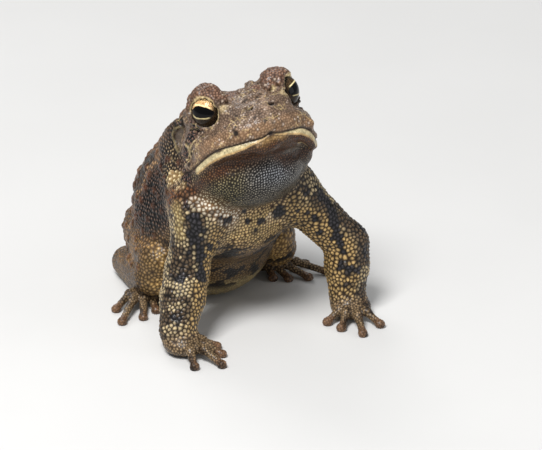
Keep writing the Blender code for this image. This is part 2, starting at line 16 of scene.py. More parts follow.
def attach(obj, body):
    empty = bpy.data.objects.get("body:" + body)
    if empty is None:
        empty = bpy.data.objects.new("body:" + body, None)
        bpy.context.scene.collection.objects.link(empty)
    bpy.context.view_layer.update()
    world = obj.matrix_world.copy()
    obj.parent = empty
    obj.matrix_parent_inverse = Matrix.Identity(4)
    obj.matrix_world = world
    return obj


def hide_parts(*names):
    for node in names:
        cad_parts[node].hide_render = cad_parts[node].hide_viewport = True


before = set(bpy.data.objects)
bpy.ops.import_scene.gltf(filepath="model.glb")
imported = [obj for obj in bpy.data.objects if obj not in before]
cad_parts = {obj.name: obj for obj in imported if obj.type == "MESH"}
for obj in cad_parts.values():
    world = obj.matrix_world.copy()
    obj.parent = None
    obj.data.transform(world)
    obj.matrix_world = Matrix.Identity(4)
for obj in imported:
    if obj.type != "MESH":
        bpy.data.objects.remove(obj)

MM = 0.001

BODY_LENGTH = 71.0  # snout to vent
# The head has its own frame: forward, left, up, measured from the middle of the upper lip.
LIP = np.array([-1.4, -36.5, 56.0])
HEAD_PITCH = math.radians(27.0)
HEAD_YAW = math.radians(-10.0)  # it looks a little to its right
HEAD_ROLL = math.radians(6.0)  # with its left side up
EYE = (-13.1, 9.35, 8.5)
EYE_RADIUS = 4.5
EYE_OPENING = 3.6
EYE_FORWARD = math.radians(45.5)  # the eyes look sideways, this much forward
EYE_UP = math.radians(-6.0)
LID_BACK = {1: 2.2, -1: 0.5}  # how far each lid is drawn back over the top of its eye
JAW_LENGTH = 15.4
JAW_HALF_WIDTH = 15.5
MOUTH_CORNER = (-18.5, 16.0, -4.7)
NOSTRIL = (-2.8, 2.85, 6.5)
TYMPANUM = (-26.6, 14.4, 3.7)
TYMPANUM_RADIUS = 2.4
TORSO_DEPTH = 0.40 * BODY_LENGTH
RUMP_SHIFT = 1.6  # the rump sits this far to the toad's left
FINGER_RADIUS = 1.05
TOE_RADIUS = 1.0
WART_SEED = 11
FAR = 1e3
SKIN_VOXEL = 0.48  # halved once the surface is smooth
GRAIN_SEED = 5
CROWDED = 0.62  # a granule nearer than this share of its spacing goes
SPREAD_ROUNDS = 5  # times that the granules are pushed apart
SPACING_STEP = 0.08  # spacings are sorted into steps of this much of their logarithm
DRAW_STEP = 0.06  # how far apart distances are taken to draw a point to the surface
SLOPE_STEP = 0.1  # and to find which way the surface faces
REGION_BLEND = 0.7  # how softly one region of skin passes into the next

# The photograph's view: its width, and the place in it, in pixels, that PICTURE_AIM is seen at.
PICTURE_WIDTH = 542
PICTURE_MIDDLE = (271, 225)
PICTURE_PLACE = (262, 307)
PICTURE_AIM = (0, -30, 6.5)
PIXELS_PER_MM = 4.1
CAMERA_TURN = math.radians(-30)
CAMERA_DROP = math.radians(24)
CAMERA_AWAY = 1500.0
SENSOR_WIDTH = 36

# In metres: the floor's front edge and half width, where it starts to rise, the rise's radius, how far back
# and how high it ends, and how far it lies under the feet.
FLOOR_FRONT = -3.0
FLOOR_HALF_WIDTH = 4.0
SWEEP_START = 1.6
SWEEP_RADIUS = 0.8
BACKDROP = (2.4, 3.0)
FLOOR_DROP = 0.00002

# Square lamps, in metres and watts: place, size and power. Then the studio's own glow.
LAMPS = {
    "key": ((-0.35, -0.25, 0.75), 0.30, 8.6),
    "fill": ((0.7, -0.7, 0.35), 0.6, 1.4),
    "back": ((0.1, 0.7, 0.6), 0.4, 2.4),
}
LAMP_AIM = (0, -0.01, 0.03)
STUDIO_COLOUR = (0.93, 0.96, 1.0, 1)
STUDIO_GLOW = 0.36

# The pupil, in shares of the opening: half its width, its half heights behind and in front, and how far
# up its middle is.
PUPIL_HALF_WIDTH = 0.80
PUPIL_HALF_HEIGHTS = (0.43, 0.32)
PUPIL_UP = 0.11
# Painted shade: the left eye's gold is dimmed to a low value.
PAINTED_IRIS_LIGHT = {1: 0.06, -1: 1.0}  # how brightly the gold of each iris shows

# Each region's granules: the distance between their middles, their height, and where their tops end
# and the gaps begin, as shares of the way from a middle to the border with the next one.
GRAINS = {
    "head": (0.85, 0.09, 0.30, 0.95),
    "throat": (0.78, 0.10, 0.22, 0.62),
    "chest": (0.92, 0.20, 0.48, 0.88),
    "belly": (0.85, 0.10, 0.38, 0.90),
    "flank": (1.28, 0.36, 0.14, 0.62),
    "back": (1.30, 0.20, 0.30, 0.90),
    "arm": (1.18, 0.28, 0.46, 0.88),
    "hand": (0.85, 0.12, 0.35, 0.95),
    "leg": (1.10, 0.18, 0.35, 0.95),
    "foot": (0.85, 0.12, 0.35, 0.95),
    "band": (1.25, 0.46, 0.20, 0.70),
}

# Colours as the eye sees them, from 0 to 255: the tops of the granules and the gaps between them.
COLOURS = {
    "back": ((128, 100, 74), (72, 55, 40)),
    "head": ((132, 110, 92), (78, 60, 47)),
    "lid": ((136, 104, 84), (68, 46, 35)),
    "throat": ((150, 138, 114), (20, 17, 13)),
    "blue": ((204, 208, 216), (32, 33, 38)),
    "olive": ((158, 146, 104), (34, 29, 17)),
    "chest": ((216, 186, 128), (62, 40, 20)),
    "white": ((246, 238, 220), (132, 98, 62)),
    # The belly's colours are partly its own and partly darkened as painted shade.
    "belly": ((122, 96, 60), (44, 32, 18)),
    "rim": ((172, 156, 112), (126, 108, 72)),
    "flank": ((124, 98, 84), (6, 5, 4)),
    "low": ((196, 160, 100), (96, 72, 40)),
    "arm": ((186, 166, 128), (40, 31, 22)),
    "yellow": ((186, 154, 100), (46, 33, 19)),
    "leg": ((146, 112, 70), (72, 53, 34)),
    "hand": ((150, 126, 94), (50, 38, 27)),
    "tip": ((128, 98, 72), (80, 58, 42)),
    "fold": ((184, 164, 116), (112, 92, 56)),
    "stripe": ((190, 152, 110), (70, 50, 34)),
    "spot": ((80, 62, 46), (20, 15, 11)),
    "black": ((50, 47, 50), (4, 4, 4)),
    "band": ((134, 100, 86), (6, 5, 6)),
    "tan": ((164, 132, 100), (122, 92, 66)),
    "ear": ((106, 92, 80), (80, 68, 57)),
    "chin": ((150, 124, 84), (116, 90, 56)),
    "russet": ((116, 74, 44), (46, 28, 17)),
    "cream": ((220, 200, 156), (200, 176, 128)),
    "lip": ((208, 192, 150), (200, 182, 138)),
    "ridge": ((160, 138, 118), (134, 110, 90)),
    "gland": ((222, 204, 160), (130, 104, 66)),
    "neck": ((196, 170, 126), (36, 26, 18)),
    "pimple": ((214, 192, 172), (110, 88, 70)),
    # painted shade along the lower edge of the lip's stripe
    "painted_lip_shade": ((180, 142, 88), (164, 126, 74)),
    "streak": ((34, 26, 18), (10, 8, 6)),
    "dark": ((24, 18, 16), (16, 12, 11)),
}

# The dark granular band between eye, ear and mouth, in the head's frame on its left.
BAND = (
    (-14.0, 13.2, 5.6), (-16.4, 14.2, 3.9), (-18.3, 15.6, 0.6),
    (-22.4, 15.6, -1.8), (-22.4, 16.0, -4.4), (-18.4, 16.2, -6.0),
)

# The pale ridge down the snout, and the dark spots of lip and cheek with their radii, in the head's frame.
SNOUT_RIDGE = ((-7.2, 2.8, 9.5), (-4.2, 1.6, 7.6), (-1.4, 0.9, 5.8), (0.7, 0.6, 2.3))
DARK_SPOTS = (((0.3, -0.1, -0.7), 0.45), ((-1.9, -8.0, 1.4), 0.5), ((-17.0, -16.4, -3.0), 0.45))

# The small glands behind each corner of the mouth with their radii, and their pale patches.
CORNER_GLANDS = (((-28.1, 18.2, -4.9), (1.3, 1.2, 1.6)), ((-21.3, 18.8, -8.0), (1.7, 1.2, 1.2)))
GLAND_PATCHES = (((-28.1, 18.2, -4.9), 1.9), ((-21.3, 18.8, -8.0), 1.9), ((-25.0, 17.2, -5.0), 1.2))

# The pale line over the shoulder on the toad's right.
SHOULDER_LINE = ((-15.5, -25.5, 38.2), (-12.8, -27.8, 36.8), (-10.4, -28.5, 34.4), (-8.0, -28.0, 32.0))

# Two raised folds of the cheek, above the corner of the mouth.
CHEEK_FOLDS = (
    ((-19.2, 15.9, -2.6), (-17.8, 15.8, -0.8), (-15.4, 15.2, 1.2), (-13.2, 14.4, 2.6)),
    ((-18.2, 16.3, -3.0), (-16.6, 16.0, -1.4), (-14.6, 15.4, 0.0)),
)

# The light stripe down each side of the back, and the pale fold behind each upper arm.
BACK_STRIPE = (
    (12.8, -1.0, 38.0), (12.6, 2.9, 34.5), (14.6, 3.6, 28.9), (14.6, 9.0, 20.0), (14.6, 12.0, 12.0),
)
FOLD_LINE = ((18.0, -20.2, 34.6), (18.8, -21.8, 33.2), (19.0, -23.3, 30.4), (18.7, -23.4, 28.0))

# Black bands of the arms: line, radius, raggedness and seed.
BLACK_BANDS = (
    (((-16.5, -26.4, 33.1), (-17.0, -26.6, 29.6), (-16.8, -27.0, 27.0)), 1.7, 0.7, 13),
    (((-16.8, -27.0, 27.0), (-15.9, -27.3, 24.1), (-15.9, -27.4, 20.6), (-15.6, -27.8, 17.0)), 1.3, 0.7, 14),
    (((-16.2, -27.0, 29.4), (-14.0, -27.8, 29.2)), 0.7, 0.4, 14),
    (((18.1, -27.1, 32.1), (19.9, -28.1, 29.0), (20.2, -30.0, 25.2), (20.9, -31.0, 20.8)), 1.35, 0.8, 15),
    (((20.9, -31.0, 20.8), (21.8, -31.8, 17.1)), 0.8, 0.5, 16),
    (((20.9, -32.6, 13.6), (24.6, -34.2, 12.5)), 0.9, 0.8, 17),
    (((22.0, -33.8, 9.0), (23.5, -34.0, 8.0)), 0.8, 0.7, 18),
)

# Black blotches on the chest: across, up, half width and half height.
CHEST_SPOTS = [
    (-10.5, 32.1, 1.0, 0.7), (-8.3, 30.5, 1.2, 0.8), (-12.7, 24.2, 0.9, 1.1), (-9.7, 27.8, 0.5, 0.5),
    (-3.4, 31.9, 0.9, 0.5), (-2.6, 28.8, 0.9, 0.8), (-0.4, 26.0, 0.8, 0.5), (1.3, 28.4, 1.2, 0.8),
    (6.0, 29.3, 1.7, 1.7), (13.3, 33.0, 1.2, 0.8), (11.0, 29.0, 0.6, 0.6), (13.6, 27.9, 0.6, 0.8),
    (15.0, 26.6, 0.6, 0.9), (16.4, 25.6, 0.7, 1.1), (16.9, 22.2, 0.9, 0.8), (5.8, 22.1, 1.3, 0.5),
    (9.5, 22.4, 0.8, 0.6),
]


def head_axes():
    """The head's forward, left and up directions as the rows of a matrix."""
    c, s = math.cos(HEAD_PITCH), math.sin(HEAD_PITCH)
    forward, left, up = np.array([[0, -c, s], [1, 0, 0], [0, s, c]])
    c, s = math.cos(HEAD_ROLL), math.sin(HEAD_ROLL)
    rolled = np.array([forward, left * c + up * s, up * c - left * s])
    c, s = math.cos(HEAD_YAW), math.sin(HEAD_YAW)
    return rolled @ np.array([[c, s, 0], [-s, c, 0], [0, 0, 1]])


HEAD = head_axes()


def from_head(point):
    return LIP + np.asarray(point, float) @ HEAD


def to_head(points):
    return (points - LIP) @ HEAD.T


def turned(about_x=0.0, about_y=0.0, about_z=0.0):
    """A 3 x 3 turn, in degrees, whose rows are the turned axes."""
    turn = (
        Matrix.Rotation(math.radians(about_z), 3, "Z")
        @ Matrix.Rotation(math.radians(about_y), 3, "Y")
        @ Matrix.Rotation(math.radians(about_x), 3, "X")
    )
    return np.array(turn.transposed())


class Blob:
    """An ellipsoid of flesh. Its axes are the rows of turn."""

    def __init__(self, centre, radii, turn=None, blend=3.0):
        self.centre = np.asarray(centre, float)
        self.radii = np.asarray(radii, float)
        self.turn = np.eye(3) if turn is None else turn
        self.blend = blend
        self.reach = self.radii.max() + blend + 2.0

    def distance(self, points):
        local = (points - self.centre) @ self.turn.T
        first = norms(local / self.radii) + 1e-9
        second = norms(local / self.radii**2) + 1e-9
        return first * (first - 1) / second

    def shells(self, sphere):
        return [(sphere * self.radii) @ self.turn + self.centre]


class Limb:
    """A tapered length of flesh with round ends."""

    def __init__(self, start, end, radius_start, radius_end, blend=2.0):
        self.start = np.asarray(start, float)
        self.end = np.asarray(end, float)
        self.radii = radius_start, radius_end
        self.blend = blend
        self.centre = (self.start + self.end) / 2
        span = np.linalg.norm(self.end - self.start) / 2
        self.reach = span + max(self.radii) + blend + 2.0

    def distance(self, points):
        along = self.end - self.start
        share = np.clip((points - self.start) @ along / (along @ along), 0, 1)
        nearest = self.start + share[:, None] * along
        radius = self.radii[0] + share * (self.radii[1] - self.radii[0])
        return norms(points - nearest) - radius

    def shells(self, sphere):
        along = (self.end - self.start) / np.linalg.norm(self.end - self.start)
        ahead = (sphere @ along) > 0
        start = sphere * self.radii[0] + self.start
        end = sphere * self.radii[1] + self.end
        return [np.where(ahead[:, None], end, start)]


class Roll:
    """A bent roll of flesh through a line of points, with no bead where its lengths meet."""

    def __init__(self, line, radius, blend=1.0):
        self.lengths = [Limb(line[i], line[i + 1], radius, radius) for i in range(len(line) - 1)]
        self.blend = blend
        low, high = np.min(line, axis=0), np.max(line, axis=0)
        self.centre = (low + high) / 2
        self.reach = (high - low) / 2 + radius + blend + 2.0

    def distance(self, points):
        return np.min([length.distance(points) for length in self.lengths], axis=0)

    def shells(self, sphere):
        return [length.shells(sphere)[0] for length in self.lengths]


def smooth_min(a, b, blend):
    near = np.maximum(blend - np.abs(a - b), 0) / blend
    return np.minimum(a, b) - near * near * blend / 4


def flesh_distance(points, forms):
    """How far the points lie outside the forms once these are blended into one body."""
    order = np.argsort(points[:, 2])
    points = points[order]
    total = np.full(len(points), FAR)
    for form in forms:
        low, high = np.searchsorted(points[:, 2], form.centre[2] + np.array((-1, 1)) * np.max(form.reach))
        near = low + np.nonzero((np.abs(points[low:high] - form.centre) < form.reach).all(axis=1))[0]
        total[near] = smooth_min(total[near], form.distance(points[near]), form.blend)
    placed = np.empty(len(points))
    placed[order] = total
    return placed


def mirrored(point, side):
    return np.array([point[0], point[1] * side, point[2]], float)


def head_line(line, side=1):
    """The points of a line in the head's frame, on the given side."""
    return [from_head(mirrored(p, side)) for p in line]


def body_line(line, side):
    return [(side * p[0], *p[1:]) for p in line]


def norms(rows):
    return np.linalg.norm(rows, axis=1)


def head_pair(points, radii, blend):
    """A limb on each side of the head, through points given in the head's frame."""
    made = []
    for side in (1, -1):
        ends = head_line(points, side)
        for i in range(len(ends) - 1):
            made.append(Limb(ends[i], ends[i + 1], radii[i], radii[i + 1], blend))
    return made


def blob_pair(point, radii, blend):
    return [Blob(from_head(mirrored(point, side)), radii, HEAD, blend) for side in (1, -1)]


def mouth_height(forward, left):
    """How high the closed mouth runs in the head's frame: a small rise in front, level beside it, then
    dropping to its corners, sooner on the left."""
    leftward = np.clip(left / 8 + 0.5, 0, 1)
    back = np.clip((-forward - 3.5 + leftward) / (13.0 - 8.0 * leftward), 0, 1)
    front = -0.75 - (0.65 - 0.25 * leftward) * (1 - np.exp(-((left / 1.6) ** 2)))
    return front + (MOUTH_CORNER[2] - front) * back**1.5


def lip(above, radius, inset, reach):
    """A rolled lip that follows the mouth, reaching so many degrees round to each side."""
    line = []
    for angle in np.radians(np.linspace(-reach, reach, 33)):
        forward = (JAW_LENGTH - inset - radius) * (math.cos(angle) - 1) - inset - radius
        left = (JAW_HALF_WIDTH - inset - radius) * math.sin(angle)
        line.append(from_head((forward, left, mouth_height(forward, left) + above)))
    return Roll(line, radius, 1.2)


def lower_lip():
    return lip(-1.2, 0.9, 0.45, 90)


def head_forms():
    """Skull, snout, lids, crests and cheeks. Radii run forward, sideways and up."""
    skull = [
        Blob(from_head((-16.5, 0, 4.8)), (12.0, 12.0, 6.1), HEAD, 3),
        Blob(from_head((-JAW_LENGTH, 0, 1.0)), (JAW_LENGTH, JAW_HALF_WIDTH - 0.5, 4.4), HEAD, 2.5),
        Blob(from_head((-8.4, 0, 1.8)), (8.4, 10.6, 4.4), HEAD, 2.5),
        Blob(from_head((-8.6, 0, 3.2)), (7.8, 5.6, 4.6), HEAD, 3),
        Blob(from_head((-14.5, 0, 7.0)), (8.0, 5.0, 3.7), HEAD, 2.5),
    ]
    cheeks = blob_pair((-20.5, 9.2, 0.0), (8.6, 6.0, 6.6), 3)
    canthus = head_pair([(-8.2, 8.0, 6.6), (-4.4, 3.6, 5.2)], (2.2, 1.6), 1.6)
    orbits = blob_pair((EYE[0] - 0.9, EYE[1] - 0.3, EYE[2] + 0.7), (6.1, 4.2, 5.7), 1.3)
    orbits += blob_pair((EYE[0] - 6.8, EYE[1] - 1.4, EYE[2] - 1.6), (6.5, 4.6, 4.8), 3)
    crests = head_pair([(-11.0, 3.0, 8.9), (-14.5, 3.8, 9.9), (-20.5, 4.8, 11.6)], (0.9, 1.1, 1.2), 1.0)
    crests += head_pair([(-20.5, 4.8, 11.6), (-21.2, 12.4, 7.2)], (1.2, 1.1), 1.2)
    lips = head_pair([(-14.0, 14.0, -0.8), (-5.5, 11.7, -0.6)], (1.4, 1.3), 1.2)
    lobes = blob_pair((MOUTH_CORNER[0] - 0.6, 15.2, MOUTH_CORNER[2] + 1.3), (3.2, 1.6, 1.3), 0.8)
    return skull + cheeks + canthus + orbits + crests + lips + lobes + [lip(0.9, 1.3, 0.0, 100)]


def throat_forms():
    """The lower jaw and the half-filled vocal sac under it."""
    jaw = Blob(from_head((-15.2, 0, -2.6)), (14.0, 14.1, 3.9), HEAD, 2)
    chin = Blob(from_head((-2.4, -1.6, -3.2)), (2.3, 3.4, 2.0), HEAD, 1.2)
    sac = Blob((-0.8, -23.5, 41.0), (14.2, 12.2, 9.2), turned(about_x=-14), 2.5)
    jowls = blob_pair((-18.5, 11.4, -6.2), (5.5, 3.6, 4.2), 2)
    return [jaw, chin, sac, *jowls, lower_lip()]


def torso_forms():
    half = TORSO_DEPTH / 2
    lean = turned(about_x=-38)
    return [
        Blob((0, -13.0, 31.0), (16.0, half - 1.0, 17.0), lean, 5),
        Limb((1.1, -8.4, 43.6), (RUMP_SHIFT / 2, 4.0, 24.0), 10.9, 14.5, 5),
        Blob((RUMP_SHIFT / 2, -1.5, 21.0), (16.6, half + 2.0, 18.5), turned(about_x=-30), 5),
        Blob((RUMP_SHIFT, 2.0, 12.5), (15.8, 17.0, 13.2), None, 5),
        Blob((RUMP_SHIFT, 13.0, 10.5), (11.0, 8.0, 9.0), None, 5),
    ]


def seated(place, forms, depth=0.0):
    """The place moved to depth under the surface of the forms, along their slope."""
    place = np.asarray(place, float)
    for _ in range(12):
        around = place + np.concatenate([np.zeros((1, 3)), np.eye(3) * 0.1])
        found = flesh_distance(around, forms)
        slope = (found[1:] - found[0]) / 0.1
        slope /= max(np.linalg.norm(slope), 1e-6)
        place = place - slope * (found[0] + depth) * 0.8
    return place


def parotoid_forms(forms):
    """The oval poison gland behind each ear, and the small glands behind each corner of the mouth."""
    made = []
    for side in (1, -1):
        front = seated((side * 12.6, -7.6, 52.0), forms)
        rear = seated((side * 14.2, 2.6, 40.5), forms)
        along = (rear - front) / np.linalg.norm(rear - front)
        middle = seated((front + rear) / 2, forms, 0.9)
        outward = middle - (0, 2.0, middle[2])
        outward -= along * (outward @ along)
        outward /= np.linalg.norm(outward)
        turn = np.array([along, np.cross(outward, along), outward])
        made.append(Blob(middle, (np.linalg.norm(rear - front) / 2, 3.5, 2.7), turn, 1.4))
        for place, radii in CORNER_GLANDS:
            made.append(Blob(seated(from_head(mirrored(place, side)), forms, 0.3), radii, HEAD, 0.7))
    return made


def digits(palm, heading, lengths, spreads, radius, side, tip_height):
    """Toes from a palm, flat on the ground. Spreads are degrees from the heading, towards the midline."""
    made = []
    for length, spread in zip(lengths, spreads):
        angle = math.radians(heading + spread)
        reach = np.array([-side * math.sin(angle), -math.cos(angle), 0])
        knuckle = palm + reach * 0.52 * length + np.array([0, 0, 0.8])
        tip = palm + reach * length
        tip[2] = tip_height
        made.append(Limb(palm, knuckle, radius * 1.45, radius * 0.95, 0.9))
        made.append(Limb(knuckle, tip, radius * 0.9, radius * 0.75, 0.5))
        bead = (radius * 1.1, radius * 1.1, radius)
        made.append(Blob(knuckle, bead, None, 0.6))
        made.append(Blob(tip, bead, None, 0.6))
    return made


ARMS = {
    1: {"shoulder": (13.6, -22.0, 31.0), "elbow": (25.4, -27.5, 17.0), "wrist": (24.0, -30.2, 5.4)},
    -1: {"shoulder": (-12.8, -21.5, 31.0), "elbow": (-16.8, -22.5, 16.5), "wrist": (-22.8, -28.6, 5.4)},
}
HIP = (7.6, 13.0, 12.5)
KNEE = (15.8, -4.5, 12.0)
HEEL = (14.0, 16.0, 4.2)
FOOT = (16.5, 2.5, 2.0)


def arm_forms(side):
    shoulder, elbow, wrist = (np.array(ARMS[side][k], float) for k in ("shoulder", "elbow", "wrist"))
    palm = wrist + np.array([side * -0.4, -3.2, -3.4])
    upper = [
        Limb(shoulder, elbow, 5.9, 4.9, 4),
        Blob(shoulder + np.array([-side * 2.5, 2.0, 1.0]), (7.0, 7.0, 7.0), None, 5),
    ]
    fore = [
        Limb(elbow, elbow * 0.55 + wrist * 0.45, 5.0, 5.0, 2),
        Limb(elbow * 0.55 + wrist * 0.45, wrist, 5.0, 4.4, 2),
    ]
    hand = [
        Blob(palm + np.array([0, 0.6, 0.4]), (4.9, 4.6, 2.7), None, 2),
        *digits(palm, 18, (8.0, 9.0, 12.0, 9.4), (62, 30, 0, -34), FINGER_RADIUS, side, 0.75),
    ]
    return upper, fore, hand


def leg_places(side):
    return (np.array((RUMP_SHIFT + side * p[0], p[1], p[2]), float) for p in (HIP, KNEE, HEEL, FOOT))


def leg_forms(side):
    hip, knee, heel, foot = leg_places(side)
    thigh = [Limb(hip, knee, 7.8, 5.8, 1.6)]
    shank = [Limb(knee + np.array([side * 1.8, 0.5, -3.6]), heel, 4.8, 3.2, 0.8)]
    sole = [
        Limb(heel + np.array([0, 0.5, -1.2]), foot, 3.2, 2.6, 1.2),
        *digits(foot, -38, (8.0, 10.5, 14.0, 17.5, 11.5), (44, 25, 8, -9, -28), TOE_RADIUS, side, 0.7),
    ]
    return thigh, shank, sole


def smooth_trunk():
    return torso_forms() + head_forms() + throat_forms()


def trunk_forms():
    made = smooth_trunk()
    return made + parotoid_forms(made)


def all_forms():
    made = trunk_forms()
    for side in (1, -1):
        for group in (*arm_forms(side), *leg_forms(side)):
            made += group
    return made


def eye_direction(side):
    aim = (
        math.sin(EYE_FORWARD) * math.cos(EYE_UP),
        side * math.cos(EYE_FORWARD) * math.cos(EYE_UP),
        math.sin(EYE_UP),
    )
    return np.array(aim) @ HEAD


def face_relief(points):
    """Millimetres by which nostrils and ears lower the head's surface."""
    local = to_head(points)
    relief = np.zeros(len(points))
    for side in (1, -1):
        nostril = norms((local - mirrored(NOSTRIL, side)) / (0.9, 0.65, 0.65))
        relief += 1.1 * np.exp(-(nostril**2))
        ear = local - mirrored(TYMPANUM, side)
        round_ear = np.hypot(ear[:, 0], ear[:, 2] / 1.1) / TYMPANUM_RADIUS
        beside = np.exp(-((ear[:, 1] / 4.0) ** 4))
        relief += 0.35 * beside / (1 + np.exp((round_ear - 0.9) * 18))
        relief -= 0.35 * beside * np.exp(-(((round_ear - 1.12) / 0.14) ** 2))
    return relief


def eye_rim(side):
    """The eye's middle and aim, and how far ahead of the middle its lids open."""
    return from_head(mirrored(EYE, side)), eye_direction(side), math.sqrt(EYE_RADIUS**2 - EYE_OPENING**2)


def lid_forms():
    """A rolled rim of lid round each eye, set back towards the ear, and a fold over it."""
    made = []
    for side in (1, -1):
        centre, aim, ahead = eye_rim(side)
        nose = np.cross(aim, HEAD[2]) * side
        nose /= np.linalg.norm(nose)
        rise = np.cross(nose, aim) * side
        ring = []
        for a in np.linspace(0, 2 * math.pi, 29):
            deep = ahead - LID_BACK[side] * max(0.0, math.cos(a - 2.2))
            wide = math.sqrt(EYE_RADIUS**2 - deep**2) + 0.45 + 0.1 * math.cos(a)
            ring.append(centre + aim * deep + wide * (math.cos(a) * nose + math.sin(a) * rise))
        fold = [
            centre
            + aim * (ahead - 1.2 - LID_BACK[side] - 0.6 * max(0.0, -math.cos(a)))
            + (EYE_OPENING + 1.3) * (math.cos(a) * nose + math.sin(a) * rise)
            for a in np.radians(np.linspace(20, 140, 13))
        ]
        made += [Roll(ring, 0.5, 0.5), Roll(fold, 0.9, 1.2)]
    return made


def eye_clearing():
    """Round hollows that keep the flesh off the front of each eye."""
    made = []
    for side in (1, -1):
        centre, aim, ahead = eye_rim(side)
        radius = math.hypot(EYE_OPENING + 0.4, 3.2)
        made.append(Blob(centre + aim * (ahead + 3.2), (radius, radius, radius), None, 0.8))
    return made


def wart_places(forms):
    """Warts on the back, flanks and legs: (place, radius, height), in rings with a seeded scatter."""
    random = np.random.default_rng(WART_SEED)
    glands = parotoid_forms(smooth_trunk())
    made = []
    for row in range(12):
        height = 7.0 + 3.9 * row
        middle = np.array([0, 9 - 0.42 * height, height])
        count = 15 if row < 9 else 11
        for step in range(count):
            angle = math.radians(-112 + 224 * (step + 0.5 * (row % 2)) / count + random.uniform(-6, 6))
            out = np.array([math.sin(angle), math.cos(angle), 0.2])
            out /= np.linalg.norm(out)
            place = middle + out * 30 + (0, 0, random.uniform(-1.4, 1.4))
            for _ in range(16):
                place = place - out * flesh_distance(place[None], forms)[0] * 0.8
            radius = random.choice([1.2, 1.5, 1.9, 2.3], p=[0.3, 0.3, 0.25, 0.15])
            radius = min(radius, 1.25 + 0.02 * max(0, 95 - abs(math.degrees(angle))))
            on_gland = min(gland.distance(place[None])[0] for gland in glands) < 1.2
            if to_head(place)[0] < -27 and not on_gland:
                made.append((place, radius, 0.42 * radius))
    return made


def wart_relief(points, warts):
    order = np.argsort(points[:, 2])
    points = points[order]
    raised = np.zeros(len(points))
    for place, radius, height in warts:
        low, high = np.searchsorted(points[:, 2], (place[2] - radius, place[2] + radius))
        near = ((points[low:high] - place) ** 2).sum(axis=1) / radius**2
        raised[low:high] = np.maximum(raised[low:high], height * np.clip(1 - near, 0, 1) ** 1.5)
    placed = np.empty(len(points))
    placed[order] = raised
    return placed


def mesh_arrays(mesh):
    points = np.empty(len(mesh.vertices) * 3)
    mesh.vertices.foreach_get("co", points)
    return points.reshape(-1, 3)


def set_points(mesh, points):
    mesh.vertices.foreach_set("co", points.ravel())


def set_marks(mesh, marks):
    for name, values in marks.items():
        mesh.attributes.new(name, "FLOAT", "POINT").data.foreach_set("value", values)


def link(name, data):
    made = bpy.data.objects.new(name, data)
    bpy.context.scene.collection.objects.link(made)
    return made


def applied(thing):
    """The object with its modifiers made part of its mesh."""
    graph = bpy.context.evaluated_depsgraph_get()
    mesh = bpy.data.meshes.new_from_object(thing.evaluated_get(graph))
    thing.modifiers.clear()
    thing.data = mesh
    return thing


def unit_sphere():
    ball = bmesh.new()
    bmesh.ops.create_icosphere(ball, subdivisions=3, radius=1)
    points = np.array([v.co[:] for v in ball.verts])
    faces = [[v.index for v in f.verts] for f in ball.faces]
    ball.free()
    return points, faces


def joined_shells(name, forms):
    """The plain shells of the forms as one mesh."""
    sphere, faces = unit_sphere()
    shells = [shell for form in forms for shell in form.shells(sphere)]
    points = np.concatenate(shells)
    many = [[i + n * len(sphere) for i in f] for n in range(len(shells)) for f in faces]
    mesh = bpy.data.meshes.new(name)
    mesh.from_pydata(points.tolist(), [], many)
    return link(name, mesh)


def remeshed(thing, voxel):
    """One closed even mesh in the place of overlapping ones."""
    remesh = thing.modifiers.new("closed", "REMESH")
    remesh.mode = "VOXEL"
    remesh.voxel_size = voxel
    return applied(thing)


def rises(points, distance, step):
    """The distance at the points, and how much it grows over a step along each axis."""
    here = distance(points)
    return here, np.stack([distance(points + np.eye(3)[i] * step) - here for i in range(3)], axis=1)


def drawn_to(points, distance, rounds):
    """The points moved onto the surface where distance is zero."""
    for _ in range(rounds):
        here, rise = rises(points, distance, DRAW_STEP)
        slope = rise / DRAW_STEP
        size = np.maximum((slope**2).sum(axis=1), 0.25)
        move = slope * (here / size)[:, None]
        longest = np.linalg.norm(move, axis=1, keepdims=True)
        points = points - move * np.minimum(1, 1.0 / np.maximum(longest, 1e-9))
    return points


def relaxed(thing, repeats):
    relax = thing.modifiers.new("relaxed", "SMOOTH")
    relax.factor = 0.5
    relax.iterations = repeats
    return applied(thing)


def smooth(low, high, value):
    share = np.clip((value - low) / (high - low), 0, 1)
    return share * share * (3 - 2 * share)


def noise(points, size, seed=0):
    """Soft random values from 0 to 1 that change over about the given size."""
    scaled = np.asarray(points) / size + 100.0
    cell = np.floor(scaled).astype(np.int64)
    share = scaled - cell
    share = share * share * (3 - 2 * share)
    total = np.zeros(len(scaled))
    for corner in range(8):
        step = np.array([corner & 1, corner >> 1 & 1, corner >> 2])
        mixed = (cell + step) @ np.array([73856093, 19349663, 83492791]) + seed * 7919
        mixed = (mixed ^ (mixed >> 13)) * 1274126177
        mixed = (mixed ^ (mixed >> 16)) & 0xFFFF
        total += mixed / 0xFFFF * np.where(step == 1, share, 1 - share).prod(axis=1)
    return total


def uneven(points, size, seed):
    """Soft random values from -0.5 to 0.5."""
    return noise(points, size, seed) - 0.5


def near_line(points, line, radius, ragged=0.0, soft=0.35, seed=1):
    """1 within the radius of a line through points, 0 outside, with an edge as ragged as asked."""
    nearest = np.full(len(points), FAR)
    for i in range(len(line) - 1):
        nearest = np.minimum(nearest, Limb(line[i], line[i + 1], 0.0, 0.0).distance(points))
    nearest += ragged * uneven(points, 1.6, seed) * 2
    return 1 - smooth(radius - soft, radius + soft, nearest)


